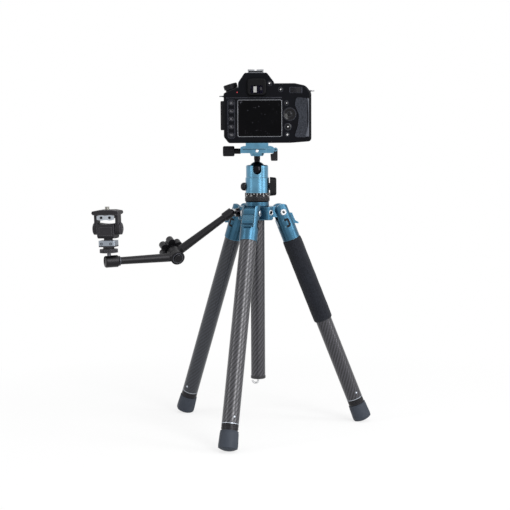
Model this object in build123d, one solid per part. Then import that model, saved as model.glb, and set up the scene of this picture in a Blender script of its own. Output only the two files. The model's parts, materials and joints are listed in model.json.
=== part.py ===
from build123d import *
import os
from math import cos, radians, sin, sqrt, tan

# Digital reflex camera on a compact tripod with a ball head and a folding side arm.
# Millimetres. The tripod axis is X = Y = 0, the floor is Z = 0, the lens looks along +Y.

# Fits that several pieces share
RUN = 0.05  # radial clearance of a turning or sliding fit
GAP = 0.3  # air between faces that pass each other
SEAT = 0.1  # air under a piece that rests on another

# Legs
LEG_AZIMUTHS = {"right": 15, "left": 135, "front": 255}
LEG_SPREAD = 22
HINGE_RADIUS = 36
TUBE_OD = 24
TUBE_WALL = 1.5
SLEEVE_WALL = 1.0
SHOULDER_LENGTH = 43
SHOULDER_HEAD_R = 12
TUBE_START = 24
TUBE_VISIBLE = 265
RING_HEIGHT = 9
BOOT_HEIGHT = 28
BOOT_TOP_D = 26
BOOT_FOOT_D = 28
BOOT_DOME_R = 26
INNER_TUBE_WALL = 1.4
GRIP_LENGTH = 133
GRIP_WALL = 2.4

# Leg hinge and angle lock
FORK_GAP = 17
BOLT_R = 3.2
BOLT_HEAD_R = 4.6
BOLT_HEAD_T = 1.4
STEP_R = 9.5
TONGUE_R = 7.5
STEP_DROP = 1.0
LOCK_THICKNESS = 5.7
LOCK_HEIGHT = 16
LOCK_LIP = 4
LOCK_TRAVEL = 5

# Spider and accessory ports
PORT_AZIMUTHS = {"rear": 75, "arm": 195, "free": 315}
SPIDER_RISE = 8.5
SPIDER_DROP = 11
PORT_BOSS_R = 8
PORT_FACE_R = 29
PORT_THREAD_R = 2.6
PORT_DEPTH = 8

# Centre column
COLUMN_OD = 21
COLUMN_WALL = 1.6
COLUMN_BOTTOM = 78.4
COLUMN_CAP = 4
COLLAR_HEIGHT = 6.9
COLLAR_OD = 34.4
HOOK_WIRE_R = 1.5
HOOK_BEND_R = 4.2
HOOK_DROP = 3

# Ball head
BASE_OD = 36.4
BASE_HEIGHT = 13
SCALE_HEIGHT = 6
BASE_STUD_R = 4.7
BASE_STUD_LENGTH = 10
HOUSING_OD = 34.6
HOUSING_LOW = 22.6
HOUSING_UPPER_OD = 32.6
BALL_R = 13
BALL_RISE = 33
RIM_RISE = 7.7
NOTCH_W = 12.2
STEM_R = 4.6
STEM_WAIST_R = 4.2
STEM_TOP = 20.6
SPIGOT_R = 3.5
SPIGOT_LENGTH = 4.5
WING_HEIGHT = 28
WING_WIDTH = 12
WING_THICK = 9.6
WING_ROUND = 2.6
KNOB_RISE = 9
KNOB_SHAFT_R = 2.5
KNOB_SHAFT_LENGTH = 5
FRICTION_R = 6
FRICTION_LENGTH = 7
FRICTION_ROUND = 5

# Quick release clamp and plate
NECK_HEIGHT = 4.4
NECK_R = 11
CLAMP_LEFT = 24
CLAMP_SPLIT = 13
CLAMP_JAW_END = 24
CLAMP_LENGTH = 48
CLAMP_FLOOR = 6.2
CLAMP_TOP = 10.4
PLATE_TOP_W = 33
PLATE_FOOT_W = 38.4
PLATE_FOOT_T = 1.7
PLATE_FLANK = 2.7
PLATE_T = 8.3
PLATE_LENGTH = 52
ROD_R = 2.5
ROD_RISE = 2.9
GUIDE_R = 1.5
GUIDE_SPACING = 32
JAW_TRAVEL = 3
CLAMP_KNOB_R = 7.6
CLAMP_KNOB_LENGTH = 17
CLAMP_KNOB_NECK_R = 4
CLAMP_KNOB_NECK = 9
LEVER_R = 3.2
LEVER_RISE = 5
LEVER_WIDTH = 14
LEVER_LENGTH = 16.5
LEVER_HEEL = 7.6
LEVER_PIN_R = 1.2
LEVER_EAR_R = 2.6
LEVER_EAR_T = 3
SCREW_R = 3.1
SCREW_HEAD_R = 6.5
SCREW_HEAD_T = 2.6
SCREW_RISE = 4.6

# Camera body, measured from the tripod socket in its base
CAM_LEFT = 48
CAM_RIGHT = 79
CAM_HEIGHT = 86
CAM_REAR = 24
CAM_FRONT = 20
CAM_PARTING = 13
TOP_PARTING = 66
WALL = 2.2
REAR_WALL = 3.0
SHOULDER_Z = 72
SHOULDER_X = -16
BASE_RUN = 30
BASE_RISE = 2.2
CORNER_LOW = 14
CORNER_RUN = 24
CORNER_MID = (8, 3.5)
HUMP_LEFT = 27
HUMP_RIGHT = 25.5
HUMP_TOP_LEFT = 17.4
HUMP_TOP_RIGHT = 14.7
HUMP_TOP = 101.2
HUMP_EAVES = 87
HUMP_FRONT = 23
GRIP_X = 46
GRIP_FRONT = 42
GRIP_TOP = 80
SKIN = 1.2
THUMB_PAD_X = 59
LENS_Z = 42
SCREEN_W = 64
SCREEN_H = 53
SCREEN_X = 4.2
SCREEN_Z = 35.7
SCREEN_T = 1.6
EYE_X = 0
EYE_Z = 77
EYE_W = 19.5
EYE_H = 13.5
EYECUP_W = 28
EYECUP_H = 25
EYECUP_RISE = 3.6
EYECUP_DEPTH = 6

# Camera controls: position across, position up, radius
BUTTON_PROUD = 1.0
BUTTON_TRAVEL = 0.8
FLANGE = 0.8
FLANGE_T = 0.8
MENU_X = -37
MENU_Z = 12
MENU_PITCH = 11.4
MENU_W = 7
MENU_H = 4.6
ROUND_BUTTONS = {
    "ae_lock_button": (34.4, 77, 3.0),
    "playback_button": (43, 57.3, 2.8),
    "live_view_button": (45, 23.3, 4.6),
    "info_button": (44, 12, 2.6),
}
PAD_X = 47.5
PAD_Z = 41.4
PAD_R = 9
DIOPTER_X = 18.5
DIOPTER_Z = 85.8
DIOPTER_R = 2.9
THUMB_X = 56.5
THUMB_Z = 76
THUMB_R = 11.5
THUMB_T = 7
THUMB_DEEP = 8.5
DIAL_X = -37.3
DIAL_Y = -2
DIAL_R = 10.1
DIAL_T = 6.5
DIAL_RISE = 2.8
DIAL_TILT = 16
SHUTTER_X = 64
SHUTTER_Y = 30
SHUTTER_R = 5
SHUTTER_TRAVEL = 1.5
GRIP_SLOPE = 22
GRIP_ROOF = 3
FLAP_LOW = 19
FLAP_HIGH = 61
FLAP_REAR = 20
FLAP_FRONT = 8
FLAP_T = 4.6
LUG_LEFT_Z = 68.2
LUG_RIGHT_Z = 75.5
LUG_RIGHT_IN = 1.5
LUG_Y = -2
LUG_POST_R = 1.4
LUG_R = 2.6
LUG_WIRE = 0.8

# Camera inner pieces and lens
BOX_HALF_W = 19
BOX_HALF_H = 17
BOX_BACK = 7
BOX_WALL = 2
MIRROR_W = 30
MIRROR_L = 22
MIRROR_T = 1.2
MIRROR_PIN_R = 1
MIRROR_RISE = 13.5
MIRROR_BACK = 4.5
SENSOR_W = 34
SENSOR_H = 27
SENSOR_T = 2.2
SHUTTER_T = 2.6
PRISM_HALF = 18
PRISM_DEPTH = 24
BATTERY = (18, 32, 54)
MOUNT_OD = 58
MOUNT_ID = 45
MOUNT_T = 3
LENS_OD = 62
LENS_LENGTH = 48
LENS_CORE_R = 27.5
LENS_BORE_R = 21
RING_START = 11
RING_LENGTH = 20
RING_OD = 64
FRONT_BORE_R = 26
FRONT_RECESS = 9
GLASS_EDGE = 3
GLASS_CURVE = 36

# Hot shoe
SHOE_X = -1.4
SHOE_Y = -6
SHOE_W = 22.8
SHOE_LENGTH = 19
SHOE_GAP = 18.7
SHOE_LIP = 4.7
SHOE_H = 5.2
SHOE_SHEET = 1.0

# Side arm
STUD_FLANGE_R = 6.5
STUD_FLANGE_T = 5
STUD_NECK = 7
STUD_NECK_R = 2.2
BASE_BALL_R = 5.4
BASE_CAP_R = 6.9
BASE_CAP_LENGTH = 15
UPPER_AZIMUTH = 187
UPPER_DROP = 35.7
UPPER_LENGTH = 102
ELBOW_ROLL = -26
ELBOW_BEND = 37
LOWER_LENGTH = 101.8
EYE_R = 10.5
EYE_T = 10
ROD_EYE_R = 6.2
ROD_END_R = 4.9
ELBOW_BOLT_R = 3
ELBOW_CAP_R = 6
ELBOW_CAP_T = 2.4
STAR_HUB_R = 8
STAR_HUB = 7
STAR_R = 12.5
STAR_LOBE_R = 5.5
STAR_LOBES = 6
STAR_T = 13
WRIST_BALL_R = 5
WRIST_CAP_R = 8.6
WRIST_CAP_BACK = 14
WRIST_CAP_FRONT = 6.6
WRIST_NECK_R = 2.8

# Monitor mount on the arm, heights above the wrist ball
MOUNT_YAW = -14
WHEEL_LOW = 12.8
WHEEL_T = 5
WHEEL_R = 13
WHEEL_HUB_R = 8
SHOE_LOW = 21.4
SHOE_PLATE_T = 8.9
SHOE_PLATE_W = 25
SHOE_PLATE_D = 18
STUD_ENTRY = 4.6
TRUNK_LOW = 33.5
TRUNK_HIGH = 55.3
TRUNK_W = 25.5
TRUNK_D = 22
TRUNK_DIP = 1.6
TRUNK_NECK_R = 6.4
PIVOT_RISE = 47
PIVOT_R = 8.6
PIVOT_PIN_R = 3.5
BRACKET_W = 40.5
BRACKET_ARM = 4.4
BRACKET_INSET = 2.2
BRACKET_TOP = 74
BRACKET_TOP_T = 7
BRACKET_CROWN = 1.6
BRACKET_DEPTH = 22
PAD_BAR_W = 26
PAD_BAR_D = 16
PAD_BAR_T = 4.5
PAD_BAR_SAG = 1.6
THREAD_R = 3.1
THREAD_RISE = 4.4

# Sizes that follow from those above
TUBE_R = TUBE_OD / 2
SLEEVE_R = TUBE_R + RUN + SLEEVE_WALL
INNER_R = TUBE_R - TUBE_WALL - RUN
TUBE_END = SHOULDER_LENGTH + TUBE_VISIBLE
LEG_LENGTH = TUBE_END + SEAT + RING_HEIGHT + BOOT_HEIGHT
HINGE_HEIGHT = (LEG_LENGTH - BOOT_DOME_R) * cos(radians(LEG_SPREAD)) + BOOT_DOME_R
TONGUE_W = FORK_GAP - 2 * GAP
FORK_W = 2 * SLEEVE_R
COLUMN_R = COLUMN_OD / 2
COLLAR_Z = HINGE_HEIGHT + SPIDER_RISE + SEAT
BASE_Z = COLLAR_Z + COLLAR_HEIGHT + SEAT
HOUSING_Z = BASE_Z + BASE_HEIGHT + SEAT
BALL_Z = HOUSING_Z + BALL_RISE
RIM_Z = BALL_Z + RIM_RISE
KNOB_Z = HOUSING_Z + KNOB_RISE
NECK_Z = BALL_Z + STEM_TOP + SEAT
CLAMP_Z = NECK_Z + NECK_HEIGHT
PLATE_Z = CLAMP_Z + CLAMP_FLOOR + SEAT
ROD_Z = CLAMP_Z + ROD_RISE
LEVER_X = CLAMP_JAW_END + LEVER_R
LEVER_Z = CLAMP_Z + LEVER_RISE
CAMERA_Z = PLATE_Z + PLATE_T
HOUSING_R = HOUSING_OD / 2
MOUNT_Y = CAM_FRONT + MOUNT_T
FLAP_HINGE_X = -CAM_LEFT - SEAT - FLAP_T / 2
FLAP_HINGE_Y = FLAP_FRONT - FLAP_T / 2


def disc(radius, low, high):
    return Pos(0, 0, low) * Cylinder(radius, high - low, align=(Align.CENTER, Align.CENTER, Align.MIN))


def tube(outer, inner, low, high):
    return disc(outer, low, high) - disc(inner, low, high)


def slab(xs, ys, zs):
    size = [high - low for low, high in (xs, ys, zs)]
    return Pos(xs[0], ys[0], zs[0]) * Box(*size, align=Align.MIN)


def turned(*points):
    return revolve(make_face(Plane.XZ * Polyline(*points, close=True)), Axis.Z)


def to_x(shape):
    return Rot(0, 90, 0) * shape


def to_y(shape):
    return Rot(-90, 0, 0) * shape


def rear_outline(points, radii):
    return make_face(FilletPolyline(*points, radius=radii, close=True))


def through_y(face, rear, front):
    plane = Plane(origin=(0, rear, 0), x_dir=(1, 0, 0), z_dir=(0, -1, 0))
    return extrude(plane * face, amount=rear - front)


def on_back(x, z, shape):
    return Plane(origin=(x, -CAM_REAR, z), x_dir=(1, 0, 0), z_dir=(0, -1, 0)).location * shape


def leg_place(azimuth):
    outward = Vector(cos(radians(azimuth)), sin(radians(azimuth)), 0)
    tilt = radians(LEG_SPREAD)
    across = outward * cos(tilt) + Vector(0, 0, sin(tilt))
    along = Vector(0, 0, cos(tilt)) - outward * sin(tilt)
    hinge = outward * HINGE_RADIUS + Vector(0, 0, HINGE_HEIGHT)
    return Plane(origin=hinge, x_dir=across, z_dir=along).location


def radial_place(azimuth, radius, height):
    return Pos(0, 0, height) * Rot(0, 0, azimuth) * Pos(radius, 0, 0)


def leg_shoulder():
    profile = Circle(SHOULDER_HEAD_R)
    profile += Pos(0, -TUBE_START / 2) * Rectangle(2 * SHOULDER_HEAD_R, TUBE_START)
    head = extrude(Plane.XZ * profile, FORK_W / 2, both=True)
    head = head & disc(SLEEVE_R, -TUBE_START, SHOULDER_HEAD_R)
    body = head + disc(SLEEVE_R, -SHOULDER_LENGTH, -TUBE_START + 4)
    half = FORK_GAP / 2
    wide = 2 * SLEEVE_R
    body -= slab((-wide, wide), (-half, half), (-STEP_R - GAP, wide))
    floor = TUBE_R - LOCK_THICKNESS + LOCK_THICKNESS / 4
    body -= slab((floor, wide), (-half, half), (-LOCK_HEIGHT - LOCK_LIP - 4, 0))
    body -= to_y(disc(BOLT_R + RUN, -wide, wide))
    body -= disc(TUBE_R + RUN, -SHOULDER_LENGTH, -TUBE_START - SLEEVE_WALL)
    groove = RectangleRounded(9, 12.5, 2.8) - RectangleRounded(5, 8.5, 1.4)
    groove -= Pos(-4, 0) * Rectangle(4, 8.5)
    for side in (-1, 1):
        key = extrude(Plane.XZ * (Pos(-1, -17) * groove), 1.5, both=True)
        body -= Pos(0, side * SLEEVE_R, 0) * key
    return body


def angle_lock():
    inner = TONGUE_R + GAP
    outer = SLEEVE_R + 0.6
    top = STEP_DROP + GAP
    tilt = radians(LEG_SPREAD)
    inner_top = (-top - inner * sin(tilt)) / cos(tilt)
    outer_top = (-top - outer * sin(tilt)) / cos(tilt)
    low = outer_top - LOCK_HEIGHT + LOCK_LIP
    floor = TUBE_R - LOCK_THICKNESS + LOCK_THICKNESS / 4 + GAP
    points = [
        (inner, inner_top),
        (outer, outer_top),
        (outer, low),
        (outer + LOCK_LIP, low - LOCK_LIP - 1),
        (outer + LOCK_LIP - 1.6, low - LOCK_LIP - 2.4),
        (outer - 1.6, low - LOCK_LIP),
        (floor, low - LOCK_LIP),
        (floor, -STEP_R),
        (inner, -STEP_R),
    ]
    tab = extrude(make_face(Plane.XZ * Polyline(*points, close=True)), TONGUE_W / 2, both=True)
    for rib in range(4):
        height = outer_top - 1.8 - 1.9 * rib
        tab -= slab((outer - 0.5, outer + 1), (-TONGUE_W, TONGUE_W), (height - 0.5, height + 0.5))
    return tab


def leg_tube():
    return tube(TUBE_R, TUBE_R - TUBE_WALL, -TUBE_END, -TUBE_START - SLEEVE_WALL - SEAT)


def lower_leg():
    ring_top = -TUBE_END - SEAT
    boot_top = ring_top - RING_HEIGHT
    inner = tube(INNER_R, INNER_R - INNER_TUBE_WALL, boot_top - BOOT_HEIGHT / 2, -TUBE_START - 8)
    ring = tube(TUBE_R, INNER_R + RUN, boot_top, ring_top)
    ring -= tube(TUBE_R + 1, TUBE_R - 0.6, boot_top + 2, boot_top + 3)
    ring = chamfer(ring.edges().group_by(Axis.Z)[-1].filter_by(GeomType.CIRCLE).sort_by(SortBy.RADIUS)[-1], 0.8)
    boot = turned(
        (0, boot_top),
        (BOOT_TOP_D / 2 - 1, boot_top),
        (BOOT_TOP_D / 2, boot_top - 1),
        (BOOT_FOOT_D / 2, boot_top - BOOT_HEIGHT * 0.75),
        (BOOT_FOOT_D / 2, -LEG_LENGTH),
        (0, -LEG_LENGTH),
    )
    boot &= Pos(0, 0, -LEG_LENGTH + BOOT_DOME_R) * Sphere(BOOT_DOME_R)
    boot -= disc(INNER_R + RUN, boot_top - BOOT_HEIGHT / 2, boot_top)
    for turn in range(3):
        flat = slab((BOOT_TOP_D / 2 - 0.2, BOOT_FOOT_D), (-BOOT_FOOT_D, BOOT_FOOT_D), (-LEG_LENGTH, boot_top))
        boot -= Rot(0, 0, 60 + 120 * turn) * flat
    return Compound([inner.solid(), ring.solid(), boot.solid()])


def foam_grip():
    low = -SHOULDER_LENGTH - SEAT - GRIP_LENGTH
    foam = tube(TUBE_R + RUN + GRIP_WALL, TUBE_R + RUN, low, low + GRIP_LENGTH)
    outer = foam.edges().filter_by(GeomType.CIRCLE).group_by(SortBy.RADIUS)[-1]
    return fillet(outer, GRIP_WALL * 0.7)


def spider():
    low = HINGE_HEIGHT - SPIDER_DROP
    high = HINGE_HEIGHT + SPIDER_RISE
    bosses = Sketch()
    for azimuth in PORT_AZIMUTHS.values():
        bosses += Rot(0, 0, azimuth) * Pos(PORT_FACE_R - PORT_BOSS_R, 0) * Circle(PORT_BOSS_R)
    body = extrude(Pos(0, 0, low) * make_hull(bosses.edges()), high - low)
    body = chamfer(body.edges().group_by(Axis.Z)[0], 1.5)
    for azimuth in LEG_AZIMUTHS.values():
        place = radial_place(azimuth, HINGE_RADIUS, HINGE_HEIGHT)
        arm = slab((-HINGE_RADIUS * 0.6, 0), (-TONGUE_W / 2, TONGUE_W / 2), (-TONGUE_R, SPIDER_RISE))
        step = to_y(disc(STEP_R, -TONGUE_W / 2, TONGUE_W / 2))
        step &= slab((-STEP_R, STEP_R), (-TONGUE_W, TONGUE_W), (-STEP_DROP, SPIDER_RISE))
        end = to_y(disc(TONGUE_R, -TONGUE_W / 2, TONGUE_W / 2))
        body += place * (arm + step + end)
        body -= place * to_y(disc(BOLT_R + RUN, -TONGUE_W, TONGUE_W))
    for azimuth in PORT_AZIMUTHS.values():
        face = radial_place(azimuth, PORT_FACE_R, HINGE_HEIGHT)
        body -= face * slab((-0.7, 5), (-PORT_BOSS_R, PORT_BOSS_R), (-SPIDER_DROP, SPIDER_RISE))
        body -= face * to_x(disc(PORT_THREAD_R, -PORT_DEPTH - 0.7, 1))
    return body - disc(COLUMN_R + RUN, low, high)


def hinge_bolts():
    reach = FORK_W / 2 + SEAT
    bolt = disc(BOLT_R, -reach, reach)
    for side in (0, 180):
        head = disc(BOLT_HEAD_R, reach, reach + BOLT_HEAD_T)
        head = chamfer(head.edges().group_by(Axis.Z)[-1], 0.5)
        socket = extrude(Pos(0, 0, reach + BOLT_HEAD_T) * RegularPolygon(2.2, 6), -1)
        bolt += Rot(side, 0, 0) * (head - socket)
    places = [radial_place(azimuth, HINGE_RADIUS, HINGE_HEIGHT) for azimuth in LEG_AZIMUTHS.values()]
    return Compound([(place * to_y(bolt)).solid() for place in places])


def centre_column():
    top = BASE_Z - SEAT
    body = disc(COLUMN_R, COLUMN_BOTTOM, top)
    body -= disc(COLUMN_R - COLUMN_WALL, COLUMN_BOTTOM, top - BASE_STUD_LENGTH - 6)
    body -= disc(BASE_STUD_R + RUN, top - BASE_STUD_LENGTH - 1, top)
    cap = disc(COLUMN_R + 0.6, COLUMN_BOTTOM - COLUMN_CAP, COLUMN_BOTTOM)
    cap = fillet(cap.edges().group_by(Axis.Z)[0], 1.5)
    cap += disc(COLUMN_R - COLUMN_WALL - RUN, COLUMN_BOTTOM, COLUMN_BOTTOM + 12)
    cap -= disc(HOOK_WIRE_R + RUN, COLUMN_BOTTOM - COLUMN_CAP, COLUMN_BOTTOM + 12)
    start = COLUMN_BOTTOM + 14
    bend = COLUMN_BOTTOM - COLUMN_CAP - HOOK_DROP
    path = Line((0, 0, start), (0, 0, bend))
    path += ThreePointArc(
        (0, 0, bend), (-HOOK_BEND_R, 0, bend - HOOK_BEND_R), (-2 * HOOK_BEND_R, 0, bend)
    )
    hook = sweep(Pos(0, 0, start) * Circle(HOOK_WIRE_R), path)
    return Compound([body.solid(), cap.solid(), hook.solid()])


def column_collar():
    ring = tube(COLLAR_OD / 2, COLUMN_R + GAP, COLLAR_Z, COLLAR_Z + COLLAR_HEIGHT)
    rims = ring.edges().filter_by(GeomType.CIRCLE).group_by(SortBy.RADIUS)[-1]
    return fillet(rims, 1)


def pan_base():
    half = BASE_OD / 2
    base = disc(half, BASE_Z, BASE_Z + BASE_HEIGHT)
    base = chamfer(base.edges().group_by(Axis.Z)[0], 1.2)
    base -= tube(half + 1, half - 0.8, BASE_Z + BASE_HEIGHT - SCALE_HEIGHT - 1, BASE_Z + BASE_HEIGHT - SCALE_HEIGHT)
    for turn in range(40):
        flute = Pos(half + 0.2, 0, BASE_Z + 1.4) * Cylinder(0.9, 4.4, align=(Align.CENTER, Align.CENTER, Align.MIN))
        base -= Rot(0, 0, 9 * turn) * flute
    return base + disc(BASE_STUD_R, BASE_Z - BASE_STUD_LENGTH, BASE_Z)


def ball_housing():
    seam = HOUSING_Z + HOUSING_LOW
    lower = disc(HOUSING_R, HOUSING_Z, seam)
    lower = chamfer(lower.edges().group_by(Axis.Z)[-1], 0.7)
    upper = disc(HOUSING_UPPER_OD / 2, seam - 1, RIM_Z)
    upper = fillet(upper.edges().group_by(Axis.Z)[-1], 2.4)
    body = lower + upper
    body -= Pos(0, 0, BALL_Z) * Sphere(BALL_R + RUN)
    mouth = sqrt((BALL_R + RUN) ** 2 - RIM_RISE**2)
    body -= disc(mouth, BALL_Z, RIM_Z + 1)
    half = NOTCH_W / 2
    body -= slab((-half, half), (-HOUSING_R - 1, 0), (BALL_Z, RIM_Z + 1))
    body -= Pos(0, 0, BALL_Z) * to_y(disc(half, -HOUSING_R - 1, 0))
    for side in (0, 180):
        bore = Pos(0, 0, KNOB_Z) * to_x(disc(KNOB_SHAFT_R + RUN, HOUSING_R - KNOB_SHAFT_LENGTH - 1, HOUSING_R + 1))
        body -= Rot(0, 0, side) * bore
    return body


def ball_stem():
    top = BALL_Z + STEM_TOP
    neck = BALL_Z + BALL_R + 2
    stem = Pos(0, 0, BALL_Z) * Sphere(BALL_R)
    stem += disc(STEM_WAIST_R, BALL_Z, neck)
    stem += turned((0, neck - 1), (STEM_WAIST_R, neck - 1), (STEM_R, neck + 1), (STEM_R, top), (0, top))
    return stem + disc(SPIGOT_R, top, top + SPIGOT_LENGTH)


def ball_lock_knob():
    start = HOUSING_R + SEAT
    shaft = disc(KNOB_SHAFT_R, HOUSING_R - KNOB_SHAFT_LENGTH, start + 1)
    hub = disc(WING_WIDTH / 2 - 0.6, start, start + 2)
    wing = SlotOverall(WING_HEIGHT, WING_WIDTH)
    body = extrude(Pos(0, 0, start + 1.2) * wing, WING_THICK, taper=6)
    outer = body.edges().group_by(Axis.Z)[-1]
    body = fillet(outer, WING_ROUND)
    return Pos(0, 0, KNOB_Z) * to_x(shaft + hub + body)


def friction_knob():
    start = HOUSING_R + SEAT
    knob = disc(FRICTION_R, start, start + FRICTION_LENGTH)
    knob = fillet(knob.edges().group_by(Axis.Z)[-1], FRICTION_ROUND)
    for turn in range(12):
        knob -= Rot(0, 0, 30 * turn) * Pos(FRICTION_R + 0.3, 0, start + 1.5) * Cylinder(
            0.8, FRICTION_LENGTH, align=(Align.CENTER, Align.CENTER, Align.MIN)
        )
    knob += disc(KNOB_SHAFT_R, HOUSING_R - KNOB_SHAFT_LENGTH, start)
    return Pos(0, 0, KNOB_Z) * Rot(0, 0, 180) * to_x(knob)


def plate_outline(clear):
    top = PLATE_TOP_W / 2 + clear
    foot = PLATE_FOOT_W / 2 + clear
    rise = PLATE_Z + PLATE_FOOT_T + clear
    return [
        (-foot, PLATE_Z - clear),
        (foot, PLATE_Z - clear),
        (foot, rise),
        (top, rise + PLATE_FLANK),
        (top, CAMERA_Z + clear),
        (-top, CAMERA_Z + clear),
        (-top, rise + PLATE_FLANK),
        (-foot, rise),
    ]


def clamp_block(left, right):
    crown = CLAMP_Z + CLAMP_TOP
    points = [
        (left, CLAMP_Z),
        (right, CLAMP_Z),
        (right, crown - 1.5),
        (right - 4, crown),
        (left + 4, crown),
        (left, crown - 1.5),
    ]
    block = through_y(make_face(Polyline(*points, close=True)), -CLAMP_LENGTH / 2, CLAMP_LENGTH / 2)
    channel = make_face(Polyline(*plate_outline(SEAT), close=True))
    return block - through_y(channel, -CLAMP_LENGTH, CLAMP_LENGTH)


def clamp_body():
    block = clamp_block(-CLAMP_LEFT, CLAMP_JAW_END)
    block -= slab((CLAMP_SPLIT, CLAMP_JAW_END + 1), (-CLAMP_LENGTH, CLAMP_LENGTH), (CLAMP_Z - 1, CAMERA_Z))
    neck = turned((0, NECK_Z), (NECK_R - 2, NECK_Z), (NECK_R, CLAMP_Z), (0, CLAMP_Z))
    block += neck
    block -= disc(SPIGOT_R + RUN, NECK_Z, NECK_Z + SPIGOT_LENGTH + SEAT)
    block -= Pos(0, 0, ROD_Z) * to_x(disc(ROD_R + RUN, -CLAMP_LEFT - 1, CLAMP_SPLIT + 1))
    for side in (-1, 1):
        guide = to_x(disc(GUIDE_R + RUN, CLAMP_SPLIT - 12, CLAMP_SPLIT + 1))
        block -= Pos(0, side * GUIDE_SPACING / 2, ROD_Z) * guide
    return block


def clamp_jaw():
    block = clamp_block(-CLAMP_LEFT, CLAMP_JAW_END)
    start = CLAMP_SPLIT + SEAT
    jaw = block & slab((start, CLAMP_JAW_END + 1), (-CLAMP_LENGTH, CLAMP_LENGTH), (CLAMP_Z - 1, CAMERA_Z))
    jaw -= Pos(0, 0, ROD_Z) * to_x(disc(ROD_R + RUN, start - 1, CLAMP_JAW_END - 2))
    for side in (-1, 1):
        guide = to_x(disc(GUIDE_R, CLAMP_SPLIT - 11, start + 1))
        jaw += Pos(0, side * GUIDE_SPACING / 2, ROD_Z) * guide
    for side in (-1, 1):
        ear_low = side * (LEVER_WIDTH / 2 + GAP)
        ys = sorted((ear_low, ear_low + side * LEVER_EAR_T))
        ear = slab((CLAMP_JAW_END - 1, LEVER_X), ys, (LEVER_Z - LEVER_EAR_R, LEVER_Z + LEVER_EAR_R))
        ear += Pos(LEVER_X, 0, LEVER_Z) * to_y(disc(LEVER_EAR_R, *ys))
        jaw += ear - Pos(LEVER_X, 0, LEVER_Z) * to_y(disc(LEVER_PIN_R + RUN, -LEVER_WIDTH, LEVER_WIDTH))
    return jaw


def clamp_knob():
    neck_end = CLAMP_LEFT + SEAT + CLAMP_KNOB_NECK
    knob = disc(CLAMP_KNOB_R, neck_end, neck_end + CLAMP_KNOB_LENGTH)
    knob = fillet(knob.edges().filter_by(GeomType.CIRCLE), 2)
    for turn in range(16):
        knob -= Rot(0, 0, 22.5 * turn) * Pos(CLAMP_KNOB_R + 0.5, 0, neck_end + 1.5) * Cylinder(
            1.2, CLAMP_KNOB_LENGTH - 4, align=(Align.CENTER, Align.CENTER, Align.MIN)
        )
    knob += disc(CLAMP_KNOB_NECK_R, CLAMP_LEFT + SEAT, neck_end)
    knob += disc(ROD_R, -CLAMP_JAW_END + 3, CLAMP_LEFT + 1)
    return Pos(0, 0, ROD_Z) * Rot(0, 0, 180) * to_x(knob)


def clamp_lever():
    half = LEVER_WIDTH / 2
    barrel = LEVER_R - GAP
    shelf = -LEVER_RISE - GAP
    blade = make_face(
        FilletPolyline(
            (-barrel, 0),
            (-barrel, shelf),
            (-LEVER_HEEL, shelf - 1.4),
            (-LEVER_HEEL + 0.8, -LEVER_LENGTH),
            (barrel, -LEVER_LENGTH),
            (barrel, 0),
            radius=[0, 0, 1.2, 1.5, 1.5, 0],
            close=True,
        )
    )
    lever = extrude(Plane.XZ * (Circle(barrel) + blade), half, both=True)
    lever += to_y(disc(LEVER_PIN_R, -half - LEVER_EAR_T, half + LEVER_EAR_T))
    return Pos(LEVER_X, 0, LEVER_Z) * lever


def quick_plate():
    plate = through_y(make_face(Polyline(*plate_outline(0), close=True)), -PLATE_LENGTH / 2, PLATE_LENGTH / 2)
    plate -= disc(SCREW_HEAD_R + GAP, PLATE_Z, PLATE_Z + SCREW_HEAD_T + GAP)
    plate -= disc(SCREW_R + GAP, PLATE_Z, CAMERA_Z)
    for side in (-1, 1):
        recess = SlotOverall(PLATE_TOP_W - 7, 6)
        plate -= extrude(Pos(0, side * PLATE_LENGTH / 3, CAMERA_Z) * recess, -0.8)
    screw = disc(SCREW_R, PLATE_Z + GAP, CAMERA_Z + SCREW_RISE)
    head = disc(SCREW_HEAD_R, PLATE_Z + GAP, PLATE_Z + GAP + SCREW_HEAD_T)
    head -= slab((-SCREW_HEAD_R, SCREW_HEAD_R), (-0.8, 0.8), (PLATE_Z, PLATE_Z + GAP + 1.2))
    screw = screw + head
    return Compound([plate.solid(), screw.solid()])


def body_outline():
    points = [
        (-CAM_LEFT + 7, 0),
        (CAM_RIGHT - BASE_RUN, 0),
        (CAM_RIGHT, BASE_RISE),
        (CAM_RIGHT, CAM_HEIGHT - CORNER_LOW),
        (CAM_RIGHT - CORNER_MID[0], CAM_HEIGHT - CORNER_MID[1]),
        (CAM_RIGHT - CORNER_RUN, CAM_HEIGHT),
        (SHOULDER_X, CAM_HEIGHT),
        (-CAM_LEFT, SHOULDER_Z),
        (-CAM_LEFT, 9),
    ]
    return rear_outline(points, [5, 20, 5, 8, 12, 20, 5, 3, 5])


def hump_outline():
    points = [
        (-HUMP_LEFT, TOP_PARTING - 2),
        (HUMP_RIGHT, TOP_PARTING - 2),
        (HUMP_RIGHT, HUMP_EAVES),
        (HUMP_TOP_RIGHT, HUMP_TOP),
        (-HUMP_TOP_LEFT, HUMP_TOP),
        (-HUMP_LEFT, HUMP_EAVES),
    ]
    return rear_outline(points, [1, 1, 8, 4, 4, 8])


def grip_plan(extra):
    points = [
        (GRIP_X - extra, 0),
        (GRIP_X - extra, GRIP_FRONT - 14),
        (GRIP_X + 8, GRIP_FRONT + extra),
        (CAM_RIGHT - 6, GRIP_FRONT + extra),
        (CAM_RIGHT + extra, GRIP_FRONT - 10),
        (CAM_RIGHT + extra, 0),
    ]
    return make_face(FilletPolyline(*points, radius=[0, 8, 7, 6, 7, 0], close=True))


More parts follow.
